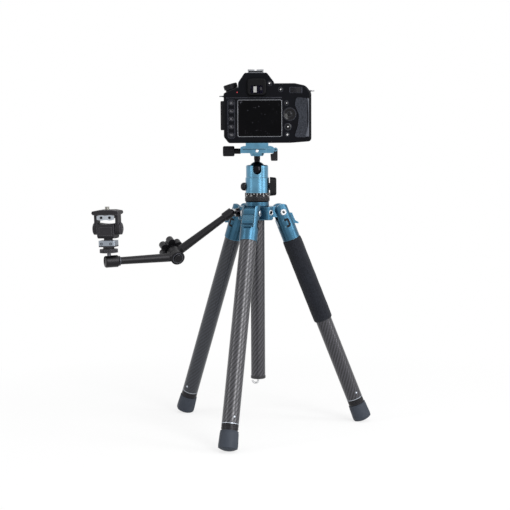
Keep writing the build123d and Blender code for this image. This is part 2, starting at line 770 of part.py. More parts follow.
def camera_shell():
    main = through_y(body_outline(), -CAM_REAR, CAM_FRONT)
    main = fillet(main.faces().sort_by(Axis.Y)[0].edges(), 3)
    hump = through_y(hump_outline(), -CAM_REAR, HUMP_FRONT)
    hump -= Pos(0, HUMP_FRONT, HUMP_EAVES) * Rot(-32, 0, 0) * slab((-60, 60), (0, 60), (-60, 60))
    grip = extrude(grip_plan(0), GRIP_TOP) & through_y(body_outline(), -CAM_REAR, 2 * GRIP_FRONT)
    slope = Pos(0, CAM_FRONT - 6, GRIP_TOP) * Rot(-GRIP_SLOPE, 0, 0) * slab((0, 120), (-60, 60), (0, 80))
    grip -= slope & slab((0, 120), (CAM_FRONT - 6, 100), (0, 200))
    outer = main + hump + grip
    inner = through_y(offset(body_outline(), -WALL), -CAM_REAR + REAR_WALL, CAM_FRONT - WALL)
    inner += through_y(offset(hump_outline(), -WALL), -CAM_REAR + REAR_WALL, CAM_FRONT - WALL - 6)
    well = extrude(Pos(0, 0, WALL) * offset(grip_plan(0), -WALL), GRIP_TOP - GRIP_ROOF - WALL)
    well -= Pos(0, 0, -GRIP_ROOF / cos(radians(GRIP_SLOPE))) * slope
    well = well & through_y(offset(body_outline(), -WALL), -CAM_REAR, 2 * GRIP_FRONT)
    return outer - (inner + well)


def rear_button(x, z, face, proud):
    cap = extrude(face, proud + REAR_WALL + SEAT)
    cap = Pos(0, 0, -REAR_WALL - SEAT) * cap
    cap = chamfer(cap.edges().group_by(Axis.Z)[-1], 0.4)
    flange = extrude(Pos(0, 0, -REAR_WALL - SEAT - FLANGE_T) * offset(face, FLANGE), FLANGE_T)
    return on_back(x, z, cap + flange)


def rear_hole(x, z, face):
    return on_back(x, z, extrude(Pos(0, 0, -REAR_WALL - 1) * offset(face, SEAT), REAR_WALL + 5))


def button_faces():
    faces = {name: (x, z, Circle(radius)) for name, (x, z, radius) in ROUND_BUTTONS.items()}
    for row in range(5):
        faces[f"menu_button_{row + 1}"] = (MENU_X, MENU_Z + MENU_PITCH * row, SlotOverall(MENU_W, MENU_H))
    faces["multi_selector"] = (PAD_X, PAD_Z, Circle(PAD_R))
    faces["diopter_knob"] = (DIOPTER_X, DIOPTER_Z, Circle(DIOPTER_R))
    return faces


def dial_place():
    slope = (CAM_HEIGHT - SHOULDER_Z) / (CAM_LEFT + SHOULDER_X)
    seat = SHOULDER_Z + slope * (DIAL_X + CAM_LEFT)
    return Pos(DIAL_X, DIAL_Y, seat + DIAL_RISE) * Rot(0, -DIAL_TILT, 0)


def shutter_place():
    fall = tan(radians(GRIP_SLOPE)) * (SHUTTER_Y - CAM_FRONT + 6)
    return Pos(SHUTTER_X, SHUTTER_Y, GRIP_TOP - fall) * Rot(-GRIP_SLOPE, 0, 0)


def rear_shell(shell):
    back = shell & slab((-200, 200), (-CAM_REAR - 1, -CAM_PARTING), (-1, 200))
    for x, z, face in button_faces().values():
        back -= rear_hole(x, z, face)
    screen = extrude(RectangleRounded(SCREEN_W + 2 * SEAT, SCREEN_H + 2 * SEAT, 2.5), -SCREEN_T)
    back -= on_back(SCREEN_X, SCREEN_Z, screen)
    column = extrude(RectangleRounded(MENU_W + 2.6, MENU_PITCH * 4 + 9, 2), -0.7)
    back -= on_back(MENU_X, MENU_Z + 2 * MENU_PITCH, column)
    window = extrude(RectangleRounded(EYE_W + 2 * SEAT, EYE_H + 2 * SEAT, 2), 20, both=True)
    back -= on_back(EYE_X, EYE_Z, window)
    wheel = Pos(THUMB_X, -CAM_REAR + THUMB_DEEP, THUMB_Z - THUMB_T / 2 - GAP)
    return back - wheel * disc(THUMB_R + GAP, 0, THUMB_T + 2 * GAP)


def front_shell(shell):
    front = shell & slab((-200, 200), (-CAM_PARTING, 100), (-1, TOP_PARTING))
    front -= Pos(0, 0, LENS_Z) * to_y(disc(MOUNT_ID / 2, 0, 100))
    boss = disc(SCREW_R + 4, 0, SCREW_RISE + 2)
    front += boss
    return front - disc(SCREW_R + RUN, -1, SCREW_RISE + SEAT)


def top_cover(shell):
    top = shell & slab((-200, 200), (-CAM_PARTING, 100), (TOP_PARTING, 200))
    top += dial_place() * disc(DIAL_R - 1.5, -5, -SEAT)
    top -= dial_place() * disc(3 + RUN, -6, 1)
    hole = shutter_place() * disc(SHUTTER_R + SEAT, -12, 5)
    top -= hole
    wheel = Pos(THUMB_X, -CAM_REAR + THUMB_DEEP, THUMB_Z - THUMB_T / 2 - GAP)
    return top - wheel * disc(THUMB_R + GAP, 0, THUMB_T + 2 * GAP)


def camera_core():
    back = -BOX_BACK
    front = CAM_FRONT - WALL
    box = slab((-BOX_HALF_W, BOX_HALF_W), (back, front), (LENS_Z - BOX_HALF_H, LENS_Z + BOX_HALF_H))
    hollow = BOX_HALF_W - BOX_WALL
    box -= slab((-hollow, hollow), (back - 1, front + 1), (LENS_Z - BOX_HALF_H + BOX_WALL, LENS_Z + BOX_HALF_H + 1))
    pin = Pos(0, -MIRROR_BACK, LENS_Z + MIRROR_RISE) * to_x(disc(MIRROR_PIN_R + RUN, -BOX_HALF_W, BOX_HALF_W))
    box -= pin
    flange = slab((-BOX_HALF_W - 8, BOX_HALF_W + 8), (front - 2, front), (LENS_Z - BOX_HALF_H, LENS_Z + BOX_HALF_H))
    box += flange - Pos(0, 0, LENS_Z) * to_y(disc(LENS_BORE_R, 0, 60))
    shutter = slab(
        (-BOX_HALF_W, BOX_HALF_W), (back - SHUTTER_T, back), (LENS_Z - BOX_HALF_H, LENS_Z + BOX_HALF_H)
    )
    shutter -= slab((-12, 12), (back - 1, back + 1), (LENS_Z - 8, LENS_Z + 8))
    rear = back - SHUTTER_T
    sensor = slab(
        (-SENSOR_W / 2, SENSOR_W / 2), (rear - SENSOR_T, rear), (LENS_Z - SENSOR_H / 2, LENS_Z + SENSOR_H / 2)
    )
    width, depth, height = BATTERY
    middle = (GRIP_X + CAM_RIGHT) / 2 + 1
    floor = WALL + BASE_RISE
    end = GRIP_FRONT - WALL - 3
    cell = slab((middle - width / 2, middle + width / 2), (end - depth, end), (floor, floor + height))
    cell = fillet(cell.edges().filter_by(Axis.Z), 2)
    return Compound([piece.solid() for piece in (box, shutter, sensor, cell)])


def reflex_mirror():
    plate = slab((-MIRROR_W / 2, MIRROR_W / 2), (0, MIRROR_L), (-MIRROR_T / 2, MIRROR_T / 2))
    reach = BOX_HALF_W - BOX_WALL / 2
    plate = plate + to_x(disc(MIRROR_PIN_R, -reach, reach))
    return Pos(0, -MIRROR_BACK, LENS_Z + MIRROR_RISE) * Rot(-45, 0, 0) * plate


def camera_optics():
    seat = LENS_Z + BOX_HALF_H
    points = [
        (-PRISM_DEPTH / 2, seat),
        (PRISM_DEPTH / 2, seat),
        (PRISM_DEPTH / 2, seat + 10),
        (0, seat + 27),
        (-PRISM_DEPTH / 2, seat + 24),
    ]
    face = make_face(Plane.YZ * Polyline(*points, close=True))
    prism = extrude(face, PRISM_HALF, both=True)
    for side in (0, 180):
        roof = Pos(PRISM_HALF - 3, 0, seat + 20) * Rot(0, -45, 0) * slab((0, 60), (-60, 60), (-60, 60))
        prism -= Rot(0, 0, side) * roof
    prism = Pos(0, CAM_FRONT - WALL - PRISM_DEPTH / 2 - 8, 0) * prism
    eye = RectangleRounded(EYE_W, EYE_H, 2)
    eyepiece = on_back(EYE_X, EYE_Z, extrude(Pos(0, 0, -REAR_WALL) * eye, 2.4))
    front_y = MOUNT_Y + LENS_LENGTH - FRONT_RECESS
    rim = LENS_BORE_R - RUN
    centre = GLASS_EDGE - sqrt(GLASS_CURVE**2 - rim**2)
    front = disc(rim, 0, 2 * GLASS_EDGE + 1) & (Pos(0, 0, centre) * Sphere(GLASS_CURVE))
    front = Pos(0, front_y - 4, LENS_Z) * to_y(front)
    rear = Pos(0, MOUNT_Y + 3, LENS_Z) * to_y(disc(LENS_BORE_R - RUN, 0, 4))
    return Compound([piece.solid() for piece in (prism, eyepiece, front, rear)])


def lcd_screen():
    pane = extrude(RectangleRounded(SCREEN_W, SCREEN_H, 2.4), -SCREEN_T)
    return on_back(SCREEN_X, SCREEN_Z, pane)


def camera_fittings():
    half = SHOE_W / 2
    low = HUMP_TOP
    shoe = slab((-half, half), (-SHOE_LENGTH / 2, SHOE_LENGTH / 2), (low, low + SHOE_SHEET))
    for side in (-1, 1):
        wall = sorted((side * half, side * (half - SHOE_SHEET)))
        lip = sorted((side * half, side * (half - SHOE_LIP)))
        shoe += slab(wall, (-SHOE_LENGTH / 2, SHOE_LENGTH / 2), (low, low + SHOE_H))
        shoe += slab(lip, (-SHOE_LENGTH / 2, SHOE_LENGTH / 2), (low + SHOE_H - SHOE_SHEET, low + SHOE_H))
    shoe = Pos(SHOE_X, SHOE_Y, 0) * shoe
    mount = Pos(0, CAM_FRONT, LENS_Z) * to_y(tube(MOUNT_OD / 2, LENS_BORE_R, 0, MOUNT_T))
    lug = Pos(LUG_R + LUG_WIRE + SEAT, 0, 0) * Torus(LUG_R, LUG_WIRE)
    lug += to_x(disc(LUG_POST_R, -LUG_POST_R - 2 * LUG_RIGHT_IN, 2 * LUG_WIRE))
    body = through_y(body_outline(), -CAM_REAR, CAM_FRONT)
    left = Pos(-CAM_LEFT, LUG_Y, LUG_LEFT_Z) * Rot(0, 0, 180) * lug - body
    right = Pos(CAM_RIGHT - LUG_RIGHT_IN, LUG_Y, LUG_RIGHT_Z) * lug - body
    return Compound([piece.solid() for piece in (shoe, mount, left, right)])


def camera_rubber():
    ring = Pos(0, EYECUP_RISE) * RectangleRounded(EYECUP_W, EYECUP_H, 5)
    cup = extrude(ring, EYECUP_DEPTH, taper=8)
    cup = fillet(cup.edges().group_by(Axis.Z)[-1], 1.6)
    cup -= extrude(RectangleRounded(EYE_W - 2, EYE_H - 2, 2), EYECUP_DEPTH)
    cup = on_back(EYE_X, EYE_Z, cup)
    skin = extrude(Pos(0, 0, 6) * (grip_plan(SKIN) - grip_plan(0)), TOP_PARTING - 12)
    skin = skin & slab((0, 200), (CAM_FRONT + 2, 200), (0, 200))
    thumb = make_face(
        FilletPolyline(
            (THUMB_PAD_X - 5, 8),
            (THUMB_PAD_X + 14, 8),
            (THUMB_PAD_X + 14, 64),
            (THUMB_PAD_X - 2, 66),
            (THUMB_PAD_X - 4, 55),
            (THUMB_PAD_X + 2, 40),
            (THUMB_PAD_X, 24),
            radius=[3, 4, 3, 4, 6, 8, 8],
            close=True,
        )
    )
    pad = Plane(origin=(0, -CAM_REAR, 0), x_dir=(1, 0, 0), z_dir=(0, -1, 0)).location * extrude(thumb, SKIN)
    return Compound([piece.solid() for piece in (cup, skin, pad)])


def terminal_cover():
    outer = -CAM_LEFT - SEAT - FLAP_T
    flap = slab((outer, -CAM_LEFT - SEAT), (-FLAP_REAR, FLAP_HINGE_Y), (FLAP_LOW, FLAP_HIGH))
    flap = fillet(flap.edges().filter_by(Axis.X).group_by(Axis.Y)[0], 3)
    flap = fillet(flap.faces().sort_by(Axis.X)[0].edges() - flap.edges().group_by(Axis.Y)[-1], 1.4)
    return flap + Pos(FLAP_HINGE_X, FLAP_HINGE_Y, 0) * disc(FLAP_T / 2, FLAP_LOW, FLAP_HIGH)


def lens_barrel():
    rear = LENS_OD / 2
    body = disc(rear, 0, RING_START - GAP)
    body += disc(LENS_CORE_R, 0, LENS_LENGTH - 2)
    body += disc(rear - 0.5, RING_START + RING_LENGTH + GAP, LENS_LENGTH)
    body = chamfer(body.edges().group_by(Axis.Z)[-1], 1)
    body -= disc(LENS_BORE_R, 0, LENS_LENGTH)
    body -= turned(
        (0, LENS_LENGTH - FRONT_RECESS + 2),
        (LENS_BORE_R, LENS_LENGTH - FRONT_RECESS + 2),
        (FRONT_BORE_R, LENS_LENGTH - 4),
        (FRONT_BORE_R, LENS_LENGTH),
        (0, LENS_LENGTH),
    )
    return Pos(0, MOUNT_Y, LENS_Z) * to_y(body)


def focus_ring():
    ring = tube(RING_OD / 2, LENS_CORE_R + RUN, RING_START, RING_START + RING_LENGTH)
    for turn in range(36):
        rib = slab((RING_OD / 2 - 0.8, RING_OD), (-1.2, 1.2), (RING_START + 2, RING_START + RING_LENGTH - 2))
        ring -= Rot(0, 0, 10 * turn) * rib
    return Pos(0, MOUNT_Y, LENS_Z) * to_y(ring)


def mode_dial():
    dial = disc(DIAL_R, 0, DIAL_T)
    dial = chamfer(dial.edges().group_by(Axis.Z)[-1], 0.8)
    for turn in range(24):
        dial -= Rot(0, 0, 15 * turn) * slab((DIAL_R - 0.5, DIAL_R + 1), (-0.5, 0.5), (0.8, DIAL_T - 1.2))
    return dial_place() * (dial + disc(3, -4, 0))


def command_dial():
    wheel = disc(THUMB_R, -THUMB_T / 2, THUMB_T / 2)
    for turn in range(24):
        wheel -= Rot(0, 0, 15 * turn) * slab((THUMB_R - 0.6, THUMB_R + 1), (-0.7, 0.7), (-THUMB_T, THUMB_T))
    return Pos(THUMB_X, -CAM_REAR + THUMB_DEEP, THUMB_Z) * wheel


def shutter_button():
    button = disc(SHUTTER_R, -GRIP_ROOF - SEAT, 2)
    button = fillet(button.edges().group_by(Axis.Z)[-1], 1)
    flange = disc(SHUTTER_R + FLANGE, -GRIP_ROOF - SEAT - FLANGE_T, -GRIP_ROOF - SEAT)
    return shutter_place() * (button + flange)


def camera_pieces():
    shell = camera_shell()
    pieces = {
        "rear_shell": rear_shell(shell),
        "front_shell": front_shell(shell),
        "top_cover": top_cover(shell),
        "camera_core": camera_core(),
        "reflex_mirror": reflex_mirror(),
        "camera_optics": camera_optics(),
        "lcd_screen": lcd_screen(),
        "camera_fittings": camera_fittings(),
        "camera_rubber": camera_rubber(),
        "terminal_cover": terminal_cover(),
        "lens_barrel": lens_barrel(),
        "focus_ring": focus_ring(),
        "mode_dial": mode_dial(),
        "command_dial": command_dial(),
        "shutter_button": shutter_button(),
    }
    for name, (x, z, face) in button_faces().items():
        pieces[name] = rear_button(x, z, face, BUTTON_PROUD)
    pad = pieces["multi_selector"]
    dish = tube(PAD_R - 1.5, 3.8, BUTTON_PROUD - 0.6, BUTTON_PROUD + 1)
    pieces["multi_selector"] = pad - on_back(PAD_X, PAD_Z, dish)
    return {name: Pos(0, 0, CAMERA_Z) * piece for name, piece in pieces.items()}


# Arm geometry: the stud ball, the upper rod, the elbow pin and the lower rod
PORT_ANGLE = radians(PORT_AZIMUTHS["arm"])
STUD_DIR = Vector(cos(PORT_ANGLE), sin(PORT_ANGLE), 0)
STUD_BASE = STUD_DIR * (PORT_FACE_R - 0.7) + Vector(0, 0, HINGE_HEIGHT)
STUD_BALL = STUD_BASE + STUD_DIR * (STUD_FLANGE_T + STUD_NECK)
UPPER_DIR = Vector(
    cos(radians(UPPER_DROP)) * cos(radians(UPPER_AZIMUTH)),
    cos(radians(UPPER_DROP)) * sin(radians(UPPER_AZIMUTH)),
    -sin(radians(UPPER_DROP)),
)
LEVEL_DIR = Vector(0, 0, 1).cross(UPPER_DIR).normalized() * -1
ELBOW_DIR = LEVEL_DIR.rotate(Axis((0, 0, 0), UPPER_DIR), ELBOW_ROLL)
UPPER_EYE = STUD_BALL + UPPER_DIR * UPPER_LENGTH
ELBOW = UPPER_EYE - ELBOW_DIR * (EYE_T / 2 + SEAT / 2)
LOWER_EYE = ELBOW - ELBOW_DIR * (EYE_T / 2 + SEAT / 2)
LOWER_DIR = UPPER_DIR.rotate(Axis((0, 0, 0), ELBOW_DIR), ELBOW_BEND)
WRIST = LOWER_EYE + LOWER_DIR * LOWER_LENGTH
WRIST_UP = (Vector(0, 0, 1) - LOWER_DIR * LOWER_DIR.Z).normalized()
MOUNT_LEVEL = (Vector(1, 0, 0) - WRIST_UP * WRIST_UP.X).normalized()
MOUNT_X = MOUNT_LEVEL.rotate(Axis((0, 0, 0), WRIST_UP), MOUNT_YAW)


def rod(length, end_r):
    shaft = turned((0, 0), (ROD_EYE_R, 0), (ROD_EYE_R, EYE_R + 8), (end_r, length), (0, length))
    eye = to_x(disc(EYE_R, -EYE_T / 2, EYE_T / 2))
    eye = fillet(eye.edges().filter_by(GeomType.CIRCLE), 1)
    shaft = shaft & slab((-EYE_T / 2 + 0.4, EYE_T / 2 - 0.4), (-60, 60), (-60, EYE_R + 3)) + (
        shaft & slab((-60, 60), (-60, 60), (EYE_R + 3, length + 1))
    )
    return shaft + eye - to_x(disc(ELBOW_BOLT_R + RUN, -EYE_T, EYE_T))


def upper_rod():
    cap_low = UPPER_LENGTH - BASE_CAP_LENGTH + 2.2
    body = rod(UPPER_LENGTH - BASE_BALL_R, ROD_END_R)
    cap = disc(BASE_CAP_R, cap_low, UPPER_LENGTH + 2.2)
    body += chamfer(cap.edges().group_by(Axis.Z)[0], 1)
    body -= Pos(0, 0, UPPER_LENGTH) * Sphere(BASE_BALL_R + RUN)
    mouth = sqrt((BASE_BALL_R + RUN) ** 2 - 2.2**2)
    body -= disc(mouth, UPPER_LENGTH + 1.9, UPPER_LENGTH + 4)
    return Plane(origin=UPPER_EYE, x_dir=ELBOW_DIR, z_dir=UPPER_DIR * -1).location * body


def lower_rod():
    body = rod(LOWER_LENGTH - WRIST_BALL_R, ROD_END_R + 0.3)
    cap = disc(WRIST_CAP_R, LOWER_LENGTH - WRIST_CAP_BACK, LOWER_LENGTH + WRIST_CAP_FRONT)
    cap = fillet(cap.edges().group_by(Axis.Z)[-1], 2)
    body += chamfer(cap.edges().group_by(Axis.Z)[0], 2)
    body = Plane(origin=LOWER_EYE, x_dir=ELBOW_DIR, z_dir=LOWER_DIR).location * body
    seat = Sphere(WRIST_BALL_R + RUN)
    half = WRIST_NECK_R + GAP
    slot = disc(half, 0, 40) + slab((0, 40), (-half, half), (0, 40))
    slot += to_x(disc(half, 0, 40))
    return body - Plane(origin=WRIST, x_dir=LOWER_DIR, z_dir=WRIST_UP).location * (seat + slot)


def elbow_knob():
    far = EYE_T + SEAT
    start = -far - ELBOW_CAP_T - SEAT
    bolt = disc(ELBOW_BOLT_R, start, far + STAR_HUB)
    cap = disc(ELBOW_CAP_R, start, start + ELBOW_CAP_T)
    cap = chamfer(cap.edges().group_by(Axis.Z)[0], 0.6)
    cap -= extrude(Pos(0, 0, start) * RegularPolygon(2.6, 6), 1.4)
    hub = turned((0, far + SEAT), (STAR_HUB_R - 1, far + SEAT), (STAR_HUB_R, far + STAR_HUB), (0, far + STAR_HUB))
    star = Circle(STAR_R)
    for lobe in range(STAR_LOBES):
        star += Rot(0, 0, 360 / STAR_LOBES * lobe) * Pos(STAR_R, 0) * Circle(STAR_LOBE_R)
    knob = extrude(Pos(0, 0, far + STAR_HUB) * star, STAR_T)
    knob = chamfer(knob.edges().group_by(Axis.Z)[-1], 1.2)
    shape = bolt + cap + hub + knob
    return Plane(origin=ELBOW, x_dir=UPPER_DIR, z_dir=ELBOW_DIR).location * shape


def arm_stud():
    shank = disc(PORT_THREAD_R - RUN, -PORT_DEPTH + 1, 1)
    flange = disc(STUD_FLANGE_R, SEAT / 2, STUD_FLANGE_T)
    flange = chamfer(flange.edges().group_by(Axis.Z)[-1], 1)
    neck = disc(STUD_NECK_R, STUD_FLANGE_T - 1, STUD_FLANGE_T + STUD_NECK)
    ball = Pos(0, 0, STUD_FLANGE_T + STUD_NECK) * Sphere(BASE_BALL_R)
    return Plane(origin=STUD_BASE, x_dir=(0, 0, 1), z_dir=STUD_DIR).location * (shank + flange + neck + ball)


def wrist_stud():
    stud = Sphere(WRIST_BALL_R) + disc(WRIST_NECK_R, 0, SHOE_LOW + STUD_ENTRY)
    wheel = tube(WHEEL_R, WRIST_NECK_R + RUN, WHEEL_LOW, WHEEL_LOW + WHEEL_T)
    wheel += tube(WHEEL_HUB_R, WRIST_NECK_R + RUN, WHEEL_LOW + WHEEL_T, SHOE_LOW - SEAT)
    for turn in range(30):
        wheel -= Rot(0, 0, 12 * turn) * Pos(WHEEL_R + 0.3, 0, WHEEL_LOW) * Cylinder(
            0.8, 3 * WHEEL_T, align=(Align.CENTER, Align.CENTER, Align.CENTER)
        )
    return Compound([mount_place() * stud.solid(), mount_place() * wheel.solid()])


def mount_place():
    return Plane(origin=WRIST, x_dir=MOUNT_X, z_dir=WRIST_UP).location


def mount_body():
    shoe = slab(
        (-SHOE_PLATE_W / 2, SHOE_PLATE_W / 2),
        (-SHOE_PLATE_D / 2, SHOE_PLATE_D / 2),
        (SHOE_LOW, SHOE_LOW + SHOE_PLATE_T),
    )
    shoe = fillet(shoe.edges().filter_by(Axis.Z), 3)
    shoe -= disc(WRIST_NECK_R + RUN, SHOE_LOW - 1, SHOE_LOW + STUD_ENTRY + SEAT)
    trunk = slab((-TRUNK_W / 2, TRUNK_W / 2), (-TRUNK_D / 2, TRUNK_D / 2), (TRUNK_LOW, TRUNK_HIGH))
    trunk = fillet(trunk.edges().filter_by(Axis.X), 5)
    dip_r = (TRUNK_W**2 / 4 + TRUNK_DIP**2) / (2 * TRUNK_DIP)
    trunk -= Pos(0, 0, TRUNK_HIGH + dip_r - TRUNK_DIP) * to_y(disc(dip_r, -TRUNK_D, TRUNK_D))
    trunk += disc(TRUNK_NECK_R, SHOE_LOW + SHOE_PLATE_T, TRUNK_LOW + 2)
    pin = Pos(0, 0, PIVOT_RISE) * to_x(disc(PIVOT_PIN_R + RUN, -TRUNK_W, TRUNK_W))
    trunk -= pin
    return Compound([mount_place() * shoe.solid(), mount_place() * trunk.solid()])


def tilt_bracket():
    half = BRACKET_W / 2
    low = BRACKET_TOP - BRACKET_TOP_T
    side_face = half - BRACKET_INSET
    points = [
        (-side_face, low),
        (side_face, low),
        (half, low + BRACKET_INSET),
        (half - 1, BRACKET_TOP - BRACKET_CROWN),
        (half / 2, BRACKET_TOP),
        (-half / 2, BRACKET_TOP),
        (-half + 1, BRACKET_TOP - BRACKET_CROWN),
        (-half, low + BRACKET_INSET),
    ]
    bar = rear_outline(points, [0.8, 0.8, 1.2, 1.2, 6, 6, 1.2, 1.2])
    body = through_y(bar, -BRACKET_DEPTH / 2, BRACKET_DEPTH / 2)
    for side in (-1, 1):
        xs = sorted((side * side_face, side * (side_face - BRACKET_ARM)))
        arm = slab(xs, (-PIVOT_R + 2, PIVOT_R - 2), (PIVOT_RISE, low + 1))
        puck = sorted((side * (side_face - BRACKET_ARM), side * half))
        arm += Pos(0, 0, PIVOT_RISE) * to_x(disc(PIVOT_R, *puck))
        boss = sorted((side * (TRUNK_W / 2 + SEAT), side * (side_face - BRACKET_ARM + 1)))
        arm += Pos(0, 0, PIVOT_RISE) * to_x(disc(PIVOT_R - 2, *boss))
        body += arm
    body += Pos(0, 0, PIVOT_RISE) * to_x(disc(PIVOT_PIN_R, -half + 1, half - 1))
    body += disc(THREAD_R, BRACKET_TOP - 1, BRACKET_TOP + THREAD_RISE)
    return mount_place() * body


def pad_bar():
    half = PAD_BAR_W / 2
    high = BRACKET_TOP - BRACKET_TOP_T
    low = high - PAD_BAR_T
    edge = Line((half, low), (half, high))
    edge += Line((half, high), (-half, high))
    edge += Line((-half, high), (-half, low))
    edge += ThreePointArc((-half, low), (0, low - PAD_BAR_SAG), (half, low))
    bar = through_y(make_face(edge), -PAD_BAR_D / 2, PAD_BAR_D / 2)
    return mount_place() * fillet(bar.edges().filter_by(Axis.Z), 3)


def build():
    nodes = camera_pieces()
    for side, azimuth in LEG_AZIMUTHS.items():
        place = leg_place(azimuth)
        nodes[f"shoulder_{side}"] = place * leg_shoulder()
        nodes[f"angle_lock_{side}"] = place * angle_lock()
        nodes[f"leg_tube_{side}"] = place * leg_tube()
        nodes[f"lower_leg_{side}"] = place * lower_leg()
    nodes["foam_grip"] = leg_place(LEG_AZIMUTHS["right"]) * foam_grip()
    nodes["spider"] = spider()
    nodes["hinge_bolts"] = hinge_bolts()
    nodes["centre_column"] = centre_column()
    nodes["column_collar"] = column_collar()
    nodes["pan_base"] = pan_base()
    nodes["ball_housing"] = ball_housing()
    nodes["ball_stem"] = ball_stem()
    nodes["ball_lock_knob"] = ball_lock_knob()
    nodes["friction_knob"] = friction_knob()
    nodes["clamp_body"] = clamp_body()
    nodes["clamp_jaw"] = clamp_jaw()
    nodes["clamp_knob"] = clamp_knob()
    nodes["clamp_lever"] = clamp_lever()
    nodes["quick_plate"] = quick_plate()
    nodes["arm_stud"] = arm_stud()
    nodes["upper_rod"] = upper_rod()
    nodes["lower_rod"] = lower_rod()
    nodes["elbow_knob"] = elbow_knob()
    nodes["wrist_stud"] = wrist_stud()
    nodes["mount_body"] = mount_body()
    nodes["tilt_bracket"] = Compound([tilt_bracket().solid(), pad_bar().solid()])
    return nodes


NODES = build()
BOXES = [shape.bounding_box() for shape in NODES.values()]
LEFT = min(box.min.X for box in BOXES)
RIGHT = max(box.max.X for box in BOXES)
NEAR = min(box.min.Y for box in BOXES)
FAR = max(box.max.Y for box in BOXES)
FLOOR = min(box.min.Z for box in BOXES)
ORIGIN = Vector((LEFT + RIGHT) / 2, (NEAR + FAR) / 2, FLOOR)

os.makedirs("parts", exist_ok=True)
for name, shape in NODES.items():
    export_step(Pos(-ORIGIN.X, -ORIGIN.Y, -ORIGIN.Z) * shape, f"parts/{name}.step")
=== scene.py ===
# %% [markdown]
# A digital reflex camera stands on a compact carbon tripod with a blue ball head, and a
# thin folding arm at the side carries a small monitor mount. The rigid pieces come from
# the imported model. This lesson gives them their finishes, and models by hand what the
# solids leave plain: the foam sleeve, the rubber boots, the printed marks and small trim.
# One way would be to model everything again here. The frame is already exact, so it
# stays, and only what gains from hand work is replaced.

# %% Load the frame
import json
import math

import bpy
from mathutils import Matrix, Vector


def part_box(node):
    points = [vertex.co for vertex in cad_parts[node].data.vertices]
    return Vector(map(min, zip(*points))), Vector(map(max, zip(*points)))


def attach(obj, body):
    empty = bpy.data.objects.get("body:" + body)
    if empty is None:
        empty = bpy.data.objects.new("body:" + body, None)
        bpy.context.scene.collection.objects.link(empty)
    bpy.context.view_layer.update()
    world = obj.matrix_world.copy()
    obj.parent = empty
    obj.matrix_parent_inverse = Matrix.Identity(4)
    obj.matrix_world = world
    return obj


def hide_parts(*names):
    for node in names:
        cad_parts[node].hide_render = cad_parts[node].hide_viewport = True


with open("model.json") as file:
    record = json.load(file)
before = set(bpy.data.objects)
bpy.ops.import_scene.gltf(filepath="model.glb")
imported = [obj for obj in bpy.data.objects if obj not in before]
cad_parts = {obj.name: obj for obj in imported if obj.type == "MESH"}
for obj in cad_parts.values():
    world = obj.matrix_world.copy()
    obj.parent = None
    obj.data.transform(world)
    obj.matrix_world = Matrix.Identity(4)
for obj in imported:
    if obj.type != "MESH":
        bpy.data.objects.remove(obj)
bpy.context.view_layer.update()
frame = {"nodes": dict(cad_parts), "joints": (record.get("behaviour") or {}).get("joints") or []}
nodes = frame["nodes"]
joints = {joint["name"]: joint for joint in frame["joints"]}
MM = 0.001
SIDES = ("right", "left", "front")

# %% [markdown]
# Every place below is worked out from the frame: the tripod axis is the middle of the
# centre column, and the camera is measured in millimetres from the tripod socket under
# it. What sits on the rear face is modelled lying flat, and is then stood up to face the
# viewer. A leg has its own frame, with Z up along the tube, X outwards and the hinge as
# its origin, so that one boot can be modelled upright and copied onto three legs.

# %% Places on the object
column_low, column_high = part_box("centre_column")
AXIS = Vector(((column_low.x + column_high.x) / 2, (column_low.y + column_high.y) / 2, 0))
CAMERA_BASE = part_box("front_shell")[0].z
CAMERA_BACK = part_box("lcd_screen")[0].y


def joint_at(name):
    return Vector(joints[name]["pos_m"])


def joint_axis(name):
    return Vector(joints[name]["axis"]).normalized()


def axes_at(origin, across, upward, outward):
    turn = Matrix((across, upward, outward)).transposed().to_4x4()
    return Matrix.Translation(origin) @ turn


def facing_viewer(origin):
    return axes_at(origin, (1, 0, 0), (0, 0, 1), (0, -1, 0))


def on_back(x, z):
    return facing_viewer((AXIS.x + x * MM, CAMERA_BACK, CAMERA_BASE + z * MM))


def leg_frame(side):
    up = -joint_axis(f"leg_{side}_extend")
    tangent = joint_axis(f"leg_{side}_fold")
    return axes_at(joint_at(f"leg_{side}_fold"), tangent.cross(up), tangent, up)


def short(vector):
    return [round(value, 4) for value in vector]


print("tripod axis", short(AXIS), "camera base", round(CAMERA_BASE, 4))

# %% [markdown]
# A finish is a small tree of shader nodes. Colours are written as the hex values that a
# painter would read from a colour card, and one function turns them to the linear values
# that the renderer adds and multiplies. Another adds a node with its settings and links.
# A node given as a value stands for its first live output. Some sockets go by number: Mix
# has its factor at 0 and its colours at 6 and 7, and Map Range has a value at 0, the old
# limits at 1 and 2 and the new limits at 3 and 4.

# %% Helpers for finishes


def linear(code):
    parts = [int(code[i : i + 2], 16) / 255 for i in (1, 3, 5)]
    light = [p / 12.92 if p <= 0.04045 else ((p + 0.055) / 1.055) ** 2.4 for p in parts]
    return (*light, 1.0)


def feed(node, inputs):
    for socket, value in inputs.items():
        if isinstance(value, bpy.types.Node):
            value = next(output for output in value.outputs if output.enabled)
        if isinstance(value, bpy.types.NodeSocket):
            node.id_data.links.new(value, node.inputs[socket])
        else:
            node.inputs[socket].default_value = value
    return node


def add(tree, kind, inputs=None, **settings):
    node = tree.nodes.new("ShaderNode" + kind)
    for name, value in settings.items():
        setattr(node, name, value)
    return feed(node, inputs or {})


def new_finish(name, **values):
    material = bpy.data.materials.new(name)
    material.use_nodes = True
    tree = material.node_tree
    tree.nodes.clear()
    sockets = {key.replace("_", " "): value for key, value in values.items()}
    shader = add(tree, "BsdfPrincipled", sockets)
    add(tree, "OutputMaterial", {"Surface": shader})
    where = add(tree, "TexCoord").outputs["Object"]
    return material, tree, shader, where


def grains(size):
    return 1 / (size * MM)


